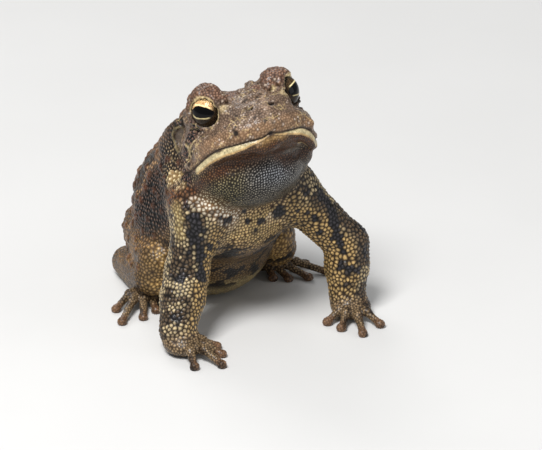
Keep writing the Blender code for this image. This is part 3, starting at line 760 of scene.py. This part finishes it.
class Flesh:
    """The toad's surface, and what its skin is like at any point."""

    def __init__(self):
        self.forms = all_forms()
        self.warts = wart_places(self.forms)
        self.hollows = eye_clearing()
        self.rims = lid_forms()
        arms, hands, legs, feet = [], [], [], []
        for side in (1, -1):
            upper, fore, hand = arm_forms(side)
            thigh, shank, sole = leg_forms(side)
            arms += upper + fore
            hands += hand
            legs += thigh + shank
            feet += sole
        self.groups = {
            "head": head_forms() + self.rims,
            "throat": throat_forms(),
            "torso": torso_forms() + parotoid_forms(smooth_trunk()),
            "arm": arms,
            "hand": hands,
            "leg": legs,
            "foot": feet,
        }

    def plain(self, points):
        """How far the points lie outside the surface, without its warts."""
        found = flesh_distance(points, self.forms)
        for hollow in self.hollows:
            near = (np.abs(points - hollow.centre) < hollow.reach + 1).all(axis=1)
            cut = -smooth_min(-found[near], hollow.distance(points[near]), hollow.blend)
            found[near] = cut
        return smooth_min(found, flesh_distance(points, self.rims), 0.6)

    def distance(self, points):
        return self.plain(points) + face_relief(points) - wart_relief(points, self.warts)

    def slopes(self, points):
        _, rise = rises(points, self.plain, SLOPE_STEP)
        return rise / np.maximum(np.linalg.norm(rise, axis=1, keepdims=True), 1e-9)

    def weights(self, points):
        """How much each region of skin counts at each point, adding up to 1."""
        far = np.stack([flesh_distance(points, forms) for forms in self.groups.values()])
        share = np.exp(-(far - far.min(axis=0)) / REGION_BLEND)
        share /= share.sum(axis=0)
        found = dict(zip(self.groups, share))
        turn = np.degrees(np.abs(np.arctan2(points[:, 0], -(points[:, 1] - 9 + 0.42 * points[:, 2]))))
        torso = found.pop("torso")
        front = 1 - smooth(52, 72, turn + 12 * uneven(points, 5, 2))
        back = smooth(108, 128, turn + 14 * uneven(points, 4, 3))
        low = 1 - smooth(19, 25, points[:, 2] + 3 * uneven(points, 4, 4))
        found["chest"] = torso * front * (1 - low)
        found["belly"] = torso * front * low
        found["flank"] = torso * (1 - front) * (1 - back)
        found["back"] = torso * back
        found["band"] = self.band(points)
        for name in found:
            if name != "band":
                found[name] = found[name] * (1 - found["band"])
        return found

    def band(self, points):
        """The dark granular band between each eye and ear, down to the corner of the mouth."""
        total = np.zeros(len(points))
        for side in (1, -1):
            total = np.maximum(total, near_line(points, head_line(BAND, side), 2.1, 0.4))
        return total


def thinned(points, spacing, random):
    """About one point for each stretch of the given spacing."""
    order = random.permutation(len(points))
    kept = []
    steps = np.round(np.log(spacing) / SPACING_STEP).astype(int)
    for step in np.unique(steps):
        some = order[steps[order] == step]
        cell = np.floor(points[some] / (math.exp(step * SPACING_STEP) * 0.9)).astype(np.int64)
        _, first = np.unique(cell @ np.array([1, 4096, 4096 * 4096]), return_index=True)
        kept.append(some[first])
    return np.concatenate(kept)


def tree_of(points):
    tree = KDTree(len(points))
    for i, p in enumerate(points):
        tree.insert(p, i)
    tree.balance()
    return tree


def spaced(points, spacing, flesh):
    """The points pushed apart along the surface until each has its spacing. Crowded ones go."""
    for _ in range(SPREAD_ROUNDS):
        tree = tree_of(points)
        push = np.zeros_like(points)
        for i, p in enumerate(points):
            for place, other, away in tree.find_n(p, 7):
                if other != i and away < spacing[i]:
                    push[i] += (p - np.array(place)) * (0.5 * (spacing[i] - away) / max(away, 1e-3))
        reach = np.linalg.norm(push, axis=1, keepdims=True)
        points = points + push * np.minimum(1, 0.35 * spacing[:, None] / np.maximum(reach, 1e-9))
        points = drawn_to(points, flesh.plain, 1)
    tree = tree_of(points)
    keep = np.ones(len(points), bool)
    for i, p in enumerate(points):
        for _, other, away in tree.find_n(p, 4):
            if other < i and keep[other] and away < CROWDED * spacing[i]:
                keep[i] = False
    return points[keep]


def mean_of(weights, index):
    return sum(weights[name] * GRAINS[name][index] for name in GRAINS)


class Grain:
    """The granules of the skin: where they are, and how each vertex lies in its own one."""

    def __init__(self, flesh, points):
        random = np.random.default_rng(GRAIN_SEED)
        spacing = mean_of(flesh.weights(points), 0)
        picked = thinned(points, spacing, random)
        self.middles = spaced(drawn_to(points[picked], flesh.plain, 2), spacing[picked], flesh)
        self.chance = random.random(len(self.middles))

    def over(self, points):
        """For each point: its granule, and how far it lies from the middle (0) to the border (1)."""
        tree = tree_of(self.middles)
        own = np.empty(len(points), int)
        share = np.empty(len(points))
        for i, p in enumerate(points):
            (_, first, near), (_, _, far) = tree.find_n(p, 2)
            own[i] = first
            share[i] = near / max((near + far) / 2, 1e-6)
        return own, share


def blotches(points, size, level, seed):
    """Irregular patches of about the given size, over about 1 - level of the surface."""
    value = 0.65 * noise(points, size, seed) + 0.35 * noise(points, size / 2.3, seed + 50)
    return smooth(level - 0.05, level + 0.05, value)


def body_markings(points, flesh):
    """The colour regions that follow whole granules, each from 0 to 1."""
    w = flesh.weights(points)
    face = to_head(points)
    x, y, z = points.T
    facing = flesh.slopes(points)
    inward = -facing[:, 0] * np.sign(x)
    made = {name: w[name] for name in ("back", "head", "flank", "chest", "arm", "leg", "band")}
    inner_thigh = w["leg"] * (x > 8) * smooth(23, 20, x) * smooth(-2, -6, y)
    made["belly"] = w["belly"] + inner_thigh
    made["throat"] = w["throat"] * smooth(-3.6, -6.8, face[:, 2] + 1.6 * uneven(points, 2.2, 7))
    # The strip round x = -10.5 is partly the chest's pale granules and partly a painted highlight.
    pale = 1.3 * np.exp(-(((x + 10.5) / 4.5) ** 2)) + 0.35 * np.exp(-(((x - 13) / 3) ** 2))
    made["white"] = w["chest"] * np.maximum(pale, 0.5 * blotches(points, 4.0, 0.5, 8)) * smooth(26, 30, z)
    inner = inward - 0.25 * facing[:, 1] + 0.3 * uneven(points, 2.5, 9)
    made["yellow"] = w["arm"] * smooth(0.0, 0.45, inner)
    made["low"] = (w["leg"] + w["flank"]) * smooth(23, 15, z + 5 * uneven(points, 4, 10))
    made["low"] *= smooth(-2, -9, y) * smooth(23, 17, x)
    made["white"] = np.maximum(made["white"], near_line(points, SHOULDER_LINE, 3.0, 0.8, 1.0, 28))
    made["hand"] = w["hand"] + w["foot"]
    made["fold"] = armpits(points)
    glands = np.zeros(len(points))
    stripe = np.zeros(len(points))
    for s in (1, -1):
        for centre, size in GLAND_PATCHES:
            from_gland = norms(face - mirrored(centre, s))
            glands = np.maximum(glands, 1 - smooth(size, size + 0.6, from_gland))
        stripe = np.maximum(stripe, 0.8 * near_line(points, body_line(BACK_STRIPE, s), 1.0, 1.1, seed=11))
    made["gland"] = glands
    made["stripe"] = stripe
    neck = smooth(-25.5, -28, face[:, 0]) * smooth(-36, -31, face[:, 0]) * smooth(-7, -4, face[:, 2])
    made["neck"] = 0.75 * neck * smooth(5, 2, face[:, 2]) * blotches(points, 2.2, 0.4, 26)
    spots = blotches(points, 6.5, 0.60, 12) * (w["back"] + 0.6 * w["leg"])
    outer = (w["arm"] + w["hand"] + w["foot"]) * smooth(0.3, -0.2, inward)
    mottled = np.maximum(blotches(points, 2.6, 0.54, 19), smooth(21.5, 23.0, x) * (z > 13))
    made["spot"] = np.maximum(spots, 0.92 * outer * mottled)
    black = np.zeros(len(points))
    for line, radius, ragged, seed in BLACK_BANDS:
        black = np.maximum(black, near_line(points, line, radius, ragged, 0.25, seed))
    black = np.maximum(black, w["arm"] * blotches(points, 3.0, 0.71, 16) * smooth(0.2, -0.3, inward))
    for across, up, wide, high in CHEST_SPOTS:
        inside = np.hypot((x - across) / wide, (z - up) / high) + 0.5 * uneven(points, 0.9, 17)
        black = np.maximum(black, (1 - smooth(0.9, 1.15, inside)) * (y < -12))
    made["black"] = black
    across = np.stack([x * 0.36 + z * 0.16, y * 0.1, z * 1.3 - x * 0.5], axis=1)
    streaks = smooth(0.58, 0.66, noise(across, 1.25, 18))
    made["streak"] = streaks * smooth(26, 22, z) * smooth(4, 7, z) * (w["belly"] + w["chest"] + inner_thigh)
    blue = np.exp(-(((face[:, 1] - 1) / 6) ** 2) - ((face[:, 2] + 10.5) / 3.2) ** 2)
    made["blue"] = w["throat"] * blue * 0.85
    # Pale tips on a few head granules: partly the skin's own tubercles, partly painted highlight.
    made["pimple"] = w["head"] * (flesh.chance < 0.07)
    made["olive"] = w["throat"] * smooth(-5.5, -10, face[:, 1]) * smooth(-4.5, -7, face[:, 2]) * 0.8
    made["rim"] = smooth(9.5, 6.5, z) * w["belly"] * 0.8
    tips = np.zeros(len(points))
    for s in (1, -1):
        for form in arm_forms(s)[2] + leg_forms(s)[2]:
            if isinstance(form, Limb) and form.end[2] < 1.2:
                tips = np.maximum(tips, 1 - smooth(1.2, 2.6, norms(points - form.end)))
    made["tip"] = tips
    return made


def armpits(points):
    """The pale fold of skin behind each upper arm."""
    made = np.zeros(len(points))
    for side in (1, -1):
        made = np.maximum(made, near_line(points, body_line(FOLD_LINE, side), 1.5, 0.8, 0.6, 27))
    return made


def face_markings(points):
    """The head's markings, which run finer than its granules."""
    face = to_head(points)
    forward, left, up = face.T
    side = np.abs(left)
    below = up - mouth_height(forward, left)
    on_face = smooth(-31, -28, forward)
    made = {}
    width = 0.1 + 1.4 * smooth(1.0, 10.0, side)
    wobble = 0.2 * uneven(points, 1.8, 21)
    edge = smooth(-0.08, -0.22, below) * smooth(-0.35 - width, -0.15 - width, below + wobble)
    rolled = lower_lip().distance(points)
    made["lip"] = edge * smooth(1.2, 0.9, rolled) * smooth(0.4, 1.6, side) * smooth(-15.6, -14.6, forward)
    made["lip"] *= np.where(left > 0, smooth(-12.0, -10.5, forward), 1.0)
    # Painted shade along the lower edge of the pale lip stripe.
    made["painted_lip_shade"] = made["lip"] * smooth(0.35 - width, -0.2 - width, below + wobble)
    made["chin"] = smooth(-0.4, -0.8, below) * smooth(-5.2, -4.2, up + wobble) * smooth(5.5, 2.5, side)
    russet = np.exp(-(((below + 3.0 - 0.08 * left) / 2.1) ** 2)) * on_face
    made["russet"] = russet * (0.75 + 0.5 * noise(points, 1.2, 22)) * smooth(-1.0, -1.7, below)
    # Painted shade: a dark line along the closed mouth and in the slit of each nostril. The spots and
    # freckles below are the skin's own colour.
    dark = 0.9 * np.exp(-((below / 0.17) ** 2)) * smooth(-24.5, -22.5, forward)
    for s in (1, -1):
        dark = np.maximum(dark, nostril(face, s, 0.46))
    for centre, size in DARK_SPOTS:
        dark = np.maximum(dark, 0.95 - 0.95 * smooth(size, size + 0.35, norms(face - centre)))
    freckles = smooth(0.80, 0.86, noise(points, 0.85, 23)) * on_face * (up > 0.5)
    made["dark"] = np.maximum(dark, 0.75 * freckles)
    ear = np.zeros(len(points))
    ring = np.zeros(len(points))
    lid = np.zeros(len(points))
    made["ridge"] = 0.75 * near_line(points, head_line(SNOUT_RIDGE), 0.6, 0.5, 0.5)
    made["tan"] = 0.7 * on_face * smooth(0.2, 0.8, below) * smooth(5.0, 2.5, below)
    made["tan"] *= smooth(-15, -11, forward)
    network = smooth(0.45, 0.6, noise(points, 0.9, 24))
    pale = np.zeros(len(points))
    for s in (1, -1):
        from_ear = face - mirrored(TYMPANUM, s)
        around = np.hypot(from_ear[:, 0], from_ear[:, 2] / 1.1) / TYMPANUM_RADIUS
        beside = np.abs(from_ear[:, 1]) < 4
        ear = np.maximum(ear, (1 - smooth(0.85, 1.0, around)) * beside)
        ring = np.maximum(ring, np.exp(-(((around - 1.1) / 0.08) ** 2)) * beside)
        centre, aim, _ = eye_rim(s)
        from_eye = points - centre
        out = norms(from_eye - (from_eye @ aim)[:, None] * aim)
        high = from_eye @ HEAD[2]
        above = smooth(0.5, 2.5, high) * smooth(9.5, 7.0, norms(from_eye))
        lid = np.maximum(lid, above * smooth(3.7, 4.3, out))
        front = from_eye @ HEAD[0]
        lift = norms(from_eye) - EYE_RADIUS
        broad = 0.35 * smooth(0.5, 2.5, front)
        rim = (1 - smooth(0.16, 0.42, lift - broad)) * (from_eye @ aim > -1)
        pale = np.maximum(pale, rim * smooth(-0.6, 1.2, 0.7 * front + 0.8 * high))
        patch = norms(face - (-6.6, s * 8.0, 8.0)) / 1.6
        pale = np.maximum(pale, 0.45 * (1 - smooth(0.3, 1.2, patch)))
        ear = np.maximum(ear, rim * smooth(0.8, -0.8, 0.7 * front + 0.8 * high))
        cheek = norms((face - (-17.5, s * 14.8, 0.2)) / (1.8, 3.0, 2.6))
        pale = np.maximum(pale, 0.75 * (1 - smooth(0.6, 1.1, cheek)) * network)
        for line in CHEEK_FOLDS:
            pale = np.maximum(pale, 0.8 * near_line(points, head_line(line, s), 0.22, 0.1, 0.22))
    made["ear"] = ear
    made["lid"] = lid * on_face
    made["cream"] = np.maximum(pale * on_face, 0.4 * ring)
    made["vein"] = on_face * smooth(-0.2, 1.0, below) * (1 - lid) * (1 - np.clip(dark, 0, 1))
    return made


def nostril(face, side, radius):
    """1 in the slit of the nostril on that side, at any depth, and 0 outside."""
    out = np.array((0.58, 0.04 * side, 0.81))
    along = np.array((0.33 * side, -0.92, -0.2))
    across = np.cross(out, along)
    beside = face - mirrored(NOSTRIL, side)
    wide = np.maximum(np.abs(beside @ along) - 0.32, 0)
    near = np.hypot(wide, beside @ across)
    return (1 - smooth(radius - 0.12, radius + 0.12, near)) * (np.abs(beside @ out) < 3)


def folds(points):
    """Millimetres by which creases finer than the solids lower the surface."""
    face = to_head(points)
    below = face[:, 2] - mouth_height(face[:, 0], face[:, 1])
    mouth = 0.4 * np.exp(-((below / 0.2) ** 2)) * smooth(-24.5, -22.5, face[:, 0])
    for side in (1, -1):
        mouth += 0.6 * nostril(face, side, 0.4)
        for line in CHEEK_FOLDS:
            mouth -= 0.32 * near_line(points, head_line(line, side), 0.2, 0.1, 0.3)
    wrinkles = noise(np.stack([points[:, 0] * 0.45, points[:, 1] * 0.45, points[:, 2]], axis=1), 0.9, 31)
    rough = noise(points, 1.5, 32) + 0.5 * noise(points, 0.8, 33)
    crown = smooth(6.5, 9.5, face[:, 2]) * smooth(-28, -25, face[:, 0])
    lumps = 0.5 * smooth(0.55, 1.05, rough) * crown
    return mouth + (0.10 * smooth(0.5, 0.7, wrinkles)) * smooth(-29, -26, face[:, 0]) - lumps


def skin_mesh(flesh):
    """The toad's whole skin, closed, with its granules, and each vertex's markings."""
    body = joined_shells("skin", flesh.forms + flesh.rims)
    for repeats in (4, 2):
        remeshed(body, SKIN_VOXEL)
        for rounds in (2, 2):
            relaxed(body, repeats)
            points = drawn_to(mesh_arrays(body.data), flesh.distance, rounds)
            set_points(body.data, points)
    grain = Grain(flesh, drawn_to(points, flesh.plain, 1))
    finer = body.modifiers.new("finer", "SUBSURF")
    finer.levels = finer.render_levels = 1
    applied(body)
    points = drawn_to(mesh_arrays(body.data), flesh.distance, 1)
    set_points(body.data, points)
    body.data.update()
    normals = np.empty(len(points) * 3)
    body.data.vertex_normals.foreach_get("vector", normals)
    normals = normals.reshape(-1, 3)
    own, share = grain.over(points)
    weights = flesh.weights(points)
    low, high = mean_of(weights, 2), mean_of(weights, 3)
    dome = 1 - smooth(low, high, share)
    # A painted highlight on each granule's top, strongest at its middle.
    peak = 1 - smooth(0.0, 0.55, share)
    face = face_markings(points)
    calm = 1 - np.clip(face["lip"] + face["ear"] + face["dark"], 0, 1)
    height = mean_of(weights, 1) * (0.8 + 0.4 * grain.chance[own]) * calm
    points = points + normals * (height * (1 - np.clip(share, 0, 1) ** 2.2) - folds(points))[:, None]
    points[:, 2] = np.maximum(points[:, 2], 0)
    set_points(body.data, points)
    flesh.chance = grain.chance
    marks = {name: values[own] for name, values in body_markings(grain.middles, flesh).items()}
    marks.update(face)
    marks["dome"] = dome * calm + 0.6 * (1 - calm)
    marks["peak"] = peak * calm
    marks["chance"] = grain.chance[own]
    marks["wart"] = np.clip(wart_relief(points, flesh.warts) / 0.5, 0, 1)
    set_marks(body.data, {name: np.clip(values, 0, 1) for name, values in marks.items()})
    return body


def linear(colour):
    share = np.array(colour) / 255
    return tuple(np.where(share <= 0.04045, share / 12.92, ((share + 0.055) / 1.055) ** 2.4))


class Tree:
    """A material's nodes, with a short call for each kind used here."""

    def __init__(self, name):
        self.material = bpy.data.materials.new(name)
        self.material.use_nodes = True
        self.nodes = self.material.node_tree.nodes
        self.links = self.material.node_tree.links
        self.shader = self.nodes["Principled BSDF"]

    def feed(self, socket, value):
        if isinstance(value, bpy.types.NodeSocket):
            self.links.new(value, socket)
        elif isinstance(value, tuple) and len(value) == 3 and len(socket.default_value) == 4:
            socket.default_value = (*value, 1)
        else:
            socket.default_value = value

    def mark(self, name):
        node = self.nodes.new("ShaderNodeAttribute")
        node.attribute_name = name
        return node.outputs["Fac"]

    def maths(self, operation, first, second=0.0):
        node = self.nodes.new("ShaderNodeMath")
        node.operation = operation
        self.feed(node.inputs[0], first)
        self.feed(node.inputs[1], second)
        return node.outputs[0]

    def times(self, first, second):
        return self.maths("MULTIPLY", first, second)

    def plus(self, first, second):
        return self.maths("ADD", first, second)

    def absolute(self, value):
        return self.maths("ABSOLUTE", value)

    def mix(self, share, first, second, blend="MIX"):
        node = self.nodes.new("ShaderNodeMix")
        node.data_type = "RGBA"
        node.blend_type = blend
        self.feed(node.inputs[0], share)
        self.feed(node.inputs[6], first)
        self.feed(node.inputs[7], second)
        return node.outputs[2]

    def place(self):
        return self.nodes.new("ShaderNodeTexCoord").outputs["Object"]

    def noise(self, place, size, detail=2.0, rough=0.5):
        """Noise whose features are about the given number of millimetres across."""
        node = self.nodes.new("ShaderNodeTexNoise")
        self.feed(node.inputs["Vector"], place)
        node.inputs["Scale"].default_value = 1 / (size * MM)
        node.inputs["Detail"].default_value = detail
        node.inputs["Roughness"].default_value = rough
        return node.outputs["Fac"]

    def cells(self, place, size, feature):
        node = self.nodes.new("ShaderNodeTexVoronoi")
        node.feature = feature
        self.feed(node.inputs["Vector"], place)
        node.inputs["Scale"].default_value = 1 / (size * MM)
        return node.outputs["Distance"]

    def ramp(self, value, low, high, start=0.0, end=1.0):
        node = self.nodes.new("ShaderNodeMapRange")
        node.interpolation_type = "SMOOTHSTEP"
        self.feed(node.inputs["Value"], value)
        for name, number in zip(("From Min", "From Max", "To Min", "To Max"), (low, high, start, end)):
            node.inputs[name].default_value = number
        return node.outputs["Result"]

    def gloss(self, specular, coat, coat_ior, coat_roughness):
        """Plain values for the light that the surface throws back."""
        names = ("Specular IOR Level", "Coat Weight", "Coat IOR", "Coat Roughness")
        for name, value in zip(names, (specular, coat, coat_ior, coat_roughness)):
            self.shader.inputs[name].default_value = value

    def bump(self, height, depth, under=None):
        node = self.nodes.new("ShaderNodeBump")
        node.inputs["Strength"].default_value = 1.0
        node.inputs["Distance"].default_value = depth * MM
        self.feed(node.inputs["Height"], height)
        if under is not None:
            self.feed(node.inputs["Normal"], under)
        return node.outputs["Normal"]


# The markings in the order in which they are laid over the colour of the back.
ORDER = (
    "head", "throat", "chest", "belly", "flank", "arm", "yellow", "white", "leg", "low", "hand",
    "tip", "neck", "rim", "streak", "spot", "stripe", "fold", "gland", "blue", "olive", "black",
    "chin", "russet", "band", "ear", "lid", "tan", "ridge", "pimple", "cream", "lip", "painted_lip_shade",
    "dark",
)


def skin_material():
    tree = Tree("toad_skin")
    place = tree.place()
    dome = tree.mark("dome")
    fine = tree.noise(place, 0.35, 3.0, 0.6)
    colour = tree.mix(dome, linear(COLOURS["back"][1]), linear(COLOURS["back"][0]))
    for name in ORDER:
        top, gap = COLOURS[name]
        layer = tree.mix(dome, linear(gap), linear(top))
        colour = tree.mix(tree.mark(name), colour, layer)
    warm = tree.times(tree.mark("wart"), tree.ramp(fine, 0.35, 0.7, 0.15, 0.5))
    colour = tree.mix(warm, colour, linear((150, 98, 70)))
    veins = tree.cells(place, 1.5, "DISTANCE_TO_EDGE")
    thread = tree.times(tree.ramp(veins, 0.10, 0.03), tree.mark("vein"))
    thread = tree.times(thread, tree.ramp(tree.noise(place, 3.2, 2.0), 0.52, 0.64, 0.0, 0.5))
    colour = tree.mix(thread, colour, linear((206, 180, 128)))
    change = tree.ramp(tree.mark("chance"), 0, 1, 0.72, 1.14)
    change = tree.plus(change, tree.ramp(fine, 0.3, 0.7, -0.22, 0.22))
    # Lighter granule tops: a painted highlight.
    change = tree.plus(change, tree.times(tree.mark("peak"), 0.28))
    large = tree.ramp(tree.noise(place, 4.0, 3.0, 0.6), 0.3, 0.7, 0.86, 1.12)
    tone_and_painted_glint = tree.times(change, large)
    grey = tree.nodes.new("ShaderNodeCombineColor")
    for i in range(3):
        tree.feed(grey.inputs[i], tone_and_painted_glint)
    colour = tree.mix(1.0, colour, grey.outputs[0], "MULTIPLY")
    tree.feed(tree.shader.inputs["Base Color"], colour)
    rough = tree.ramp(tree.noise(place, 0.5, 3.0), 0.3, 0.7, 0.30, 0.52)
    tree.feed(tree.shader.inputs["Roughness"], rough)
    grain = tree.bump(tree.noise(place, 0.16, 2.0), 0.05)
    leather = tree.bump(tree.cells(place, 0.42, "SMOOTH_F1"), 0.06, grain)
    tree.feed(tree.shader.inputs["Normal"], leather)
    tree.gloss(0.18, 0.28, 1.4, 0.14)
    return tree.material


def eye_mesh(side):
    """The eyeball, a little fuller over its iris, with how far across and up each point of it lies."""
    centre, aim, _ = eye_rim(side)
    up = np.array([0.0, 0.0, 1.0]) - aim * aim[2]
    up /= np.linalg.norm(up)
    across = np.cross(up, aim)
    ahead = across if across @ HEAD[0] > 0 else -across
    made = bmesh.new()
    bmesh.ops.create_uvsphere(made, u_segments=96, v_segments=64, radius=1)
    mesh = bpy.data.meshes.new("eye_left" if side == 1 else "eye_right")
    made.to_mesh(mesh)
    made.free()
    unit = mesh_arrays(mesh)
    local = unit * (1 + 0.02 * smooth(0.45, 0.9, unit[:, 2]))[:, None]
    axes = np.stack([across, up, aim])
    points = centre + (EYE_RADIUS * local) @ axes
    set_points(mesh, points)
    from_middle = points - centre
    set_marks(mesh, {
        "eye_across": (from_middle @ ahead) / EYE_OPENING,
        "eye_up": (from_middle @ up) / EYE_OPENING,
        # painted shade over this eye's gold
        "painted_eye_light": np.full(len(points), PAINTED_IRIS_LIGHT[side]),
    })
    mesh.shade_smooth()
    return link(f"{mesh.name}_ball", mesh)


def eye_material():
    tree = Tree("eye")
    place = tree.place()
    across, up = tree.mark("eye_across"), tree.mark("eye_up")
    wavy = tree.ramp(tree.noise(place, 0.8, 2.0), 0.3, 0.7, -0.03, 0.03)
    wide = tree.maths("DIVIDE", across, PUPIL_HALF_WIDTH)
    high = tree.maths("SUBTRACT", up, tree.times(across, 0.04))
    above = tree.maths("SUBTRACT", high, PUPIL_UP)
    high = tree.maths("DIVIDE", above, tree.ramp(across, -0.7, 0.9, *PUPIL_HALF_HEIGHTS))
    wide = tree.maths("POWER", tree.absolute(wide), 2.8)
    high = tree.maths("POWER", tree.absolute(high), 2.0)
    oval = tree.plus(tree.maths("POWER", tree.plus(wide, high), 0.45), wavy)
    far = tree.maths("SQRT", tree.plus(tree.times(across, across), tree.times(up, up)))
    flecks = tree.ramp(tree.noise(place, 0.22, 3.0, 0.7), 0.42, 0.62)
    veins = tree.ramp(tree.cells(place, 0.5, "DISTANCE_TO_EDGE"), 0.05, 0.22)
    gold = tree.mix(flecks, linear((150, 92, 48)), linear((236, 196, 132)))
    gold = tree.mix(tree.times(veins, 0.5), gold, linear((245, 214, 170)))
    dark = tree.mix(flecks, linear((14, 11, 8)), linear((62, 47, 30)))
    # Gold above the pupil; its fading towards the nose and its dimming on the left eye are painted shade.
    bright = tree.times(tree.ramp(above, 0.0, 0.2), tree.ramp(across, 0.78, 0.40, 0.05, 1.0))
    bright = tree.times(bright, tree.mark("painted_eye_light"))
    iris = tree.mix(bright, dark, gold)
    line = tree.times(tree.ramp(oval, 1.0, 1.05), tree.ramp(oval, 1.27, 1.17))
    line = tree.times(line, tree.ramp(tree.absolute(tree.plus(across, 0.08)), 0.72, 0.5))
    line = tree.times(line, tree.ramp(above, -0.2, 0.2, 0.62, 1.0))
    iris = tree.mix(line, iris, linear((240, 222, 166)))
    # A dark ring round the edge of the opening: painted shade of the lids over the iris.
    edge = tree.plus(far, tree.ramp(flecks, 0, 1, 0.05, -0.05))
    iris = tree.mix(tree.ramp(edge, 0.84, 0.95), iris, linear((12, 10, 9)))
    colour = tree.mix(tree.ramp(oval, 0.95, 0.99), linear((4, 4, 5)), iris)
    tree.feed(tree.shader.inputs["Base Color"], colour)
    tree.feed(tree.shader.inputs["Roughness"], tree.ramp(flecks, 0, 1, 0.16, 0.24))
    tree.gloss(0.05, 0.4, 1.36, 0.02)
    return tree.material


def floor_material():
    tree = Tree("floor")
    place = tree.place()
    tone = tree.ramp(tree.noise(place, 60.0, 3.0), 0.3, 0.7)
    colour = tree.mix(tone, linear((205, 204, 202)), linear((207, 206, 204)))
    tree.feed(tree.shader.inputs["Base Color"], colour)
    tree.shader.inputs["Roughness"].default_value = 0.75
    return tree.material


def made_floor():
    """A plain floor that rises softly into a backdrop far behind."""
    profile = [(FLOOR_FRONT, 0.0), (SWEEP_START, 0.0)]
    for a in np.radians(np.arange(10, 91, 10)):
        profile.append((SWEEP_START + SWEEP_RADIUS * math.sin(a), SWEEP_RADIUS - SWEEP_RADIUS * math.cos(a)))
    profile.append(BACKDROP)
    rows = [[(x, y, z - FLOOR_DROP) for x in (-FLOOR_HALF_WIDTH, FLOOR_HALF_WIDTH)] for y, z in profile]
    mesh = bpy.data.meshes.new("floor")
    faces = [[2 * i, 2 * i + 1, 2 * i + 3, 2 * i + 2] for i in range(len(rows) - 1)]
    mesh.from_pydata([p for row in rows for p in row], [], faces)
    mesh.shade_smooth()
    floor = link("floor", mesh)
    floor.rotation_euler[2] = CAMERA_TURN
    floor.data.materials.append(floor_material())


def area_light(name, place, size, power):
    lamp = bpy.data.lights.new(name, "AREA")
    lamp.shape = "SQUARE"
    lamp.size = size
    lamp.energy = power
    made = link(name, lamp)
    made.location = place
    made.rotation_mode = "QUATERNION"
    made.rotation_quaternion = (Vector(LAMP_AIM) - Vector(place)).to_track_quat("-Z", "Y")


def lit():
    world = bpy.data.worlds.new("studio")
    bpy.context.scene.world = world
    world.use_nodes = True
    glow = world.node_tree.nodes["Background"].inputs
    glow[0].default_value = STUDIO_COLOUR
    glow[1].default_value = STUDIO_GLOW
    for name, lamp in LAMPS.items():
        area_light(name, *lamp)
    bpy.context.scene.view_settings.view_transform = "Standard"


def made_camera():
    """The photograph's view: from the toad's right front and above, from far off."""
    right = Vector((math.cos(CAMERA_TURN), math.sin(CAMERA_TURN), 0))
    level = Vector((-math.sin(CAMERA_TURN), math.cos(CAMERA_TURN), 0))
    up = level * math.sin(CAMERA_DROP) + Vector((0, 0, math.cos(CAMERA_DROP)))
    look = level * math.cos(CAMERA_DROP) - Vector((0, 0, math.sin(CAMERA_DROP)))
    aim = Vector(PICTURE_AIM)
    aim += right * ((PICTURE_MIDDLE[0] - PICTURE_PLACE[0]) / PIXELS_PER_MM)
    aim += up * ((PICTURE_PLACE[1] - PICTURE_MIDDLE[1]) / PIXELS_PER_MM)
    camera = link("camera", bpy.data.cameras.new("camera"))
    camera.data.sensor_width = SENSOR_WIDTH
    camera.data.lens = SENSOR_WIDTH * CAMERA_AWAY / (PICTURE_WIDTH / PIXELS_PER_MM)
    camera.data.clip_start = 0.01
    camera.data.clip_end = 20
    camera.location = (aim - look * CAMERA_AWAY) * MM
    camera.rotation_mode = "QUATERNION"
    camera.rotation_quaternion = look.to_track_quat("-Z", "Y")
    bpy.context.scene.camera = camera


def main():
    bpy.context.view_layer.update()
    made_camera()
    lit()
    made_floor()
    flesh = Flesh()
    skin = skin_mesh(flesh)
    skin.data.transform(Matrix.Scale(MM, 4))
    skin.data.shade_smooth()
    skin.name = skin.data.name = "skin"
    skin.data.materials.clear()
    skin.data.materials.append(skin_material())
    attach(skin, "root")
    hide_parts(*(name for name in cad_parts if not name.startswith("eye")))
    shine = eye_material()
    for side, node in ((1, "eye_left"), (-1, "eye_right")):
        ball = eye_mesh(side)
        ball.data.transform(Matrix.Scale(MM, 4))
        ball.data.materials.append(shine)
        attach(ball, "root")
        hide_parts(node)


main()
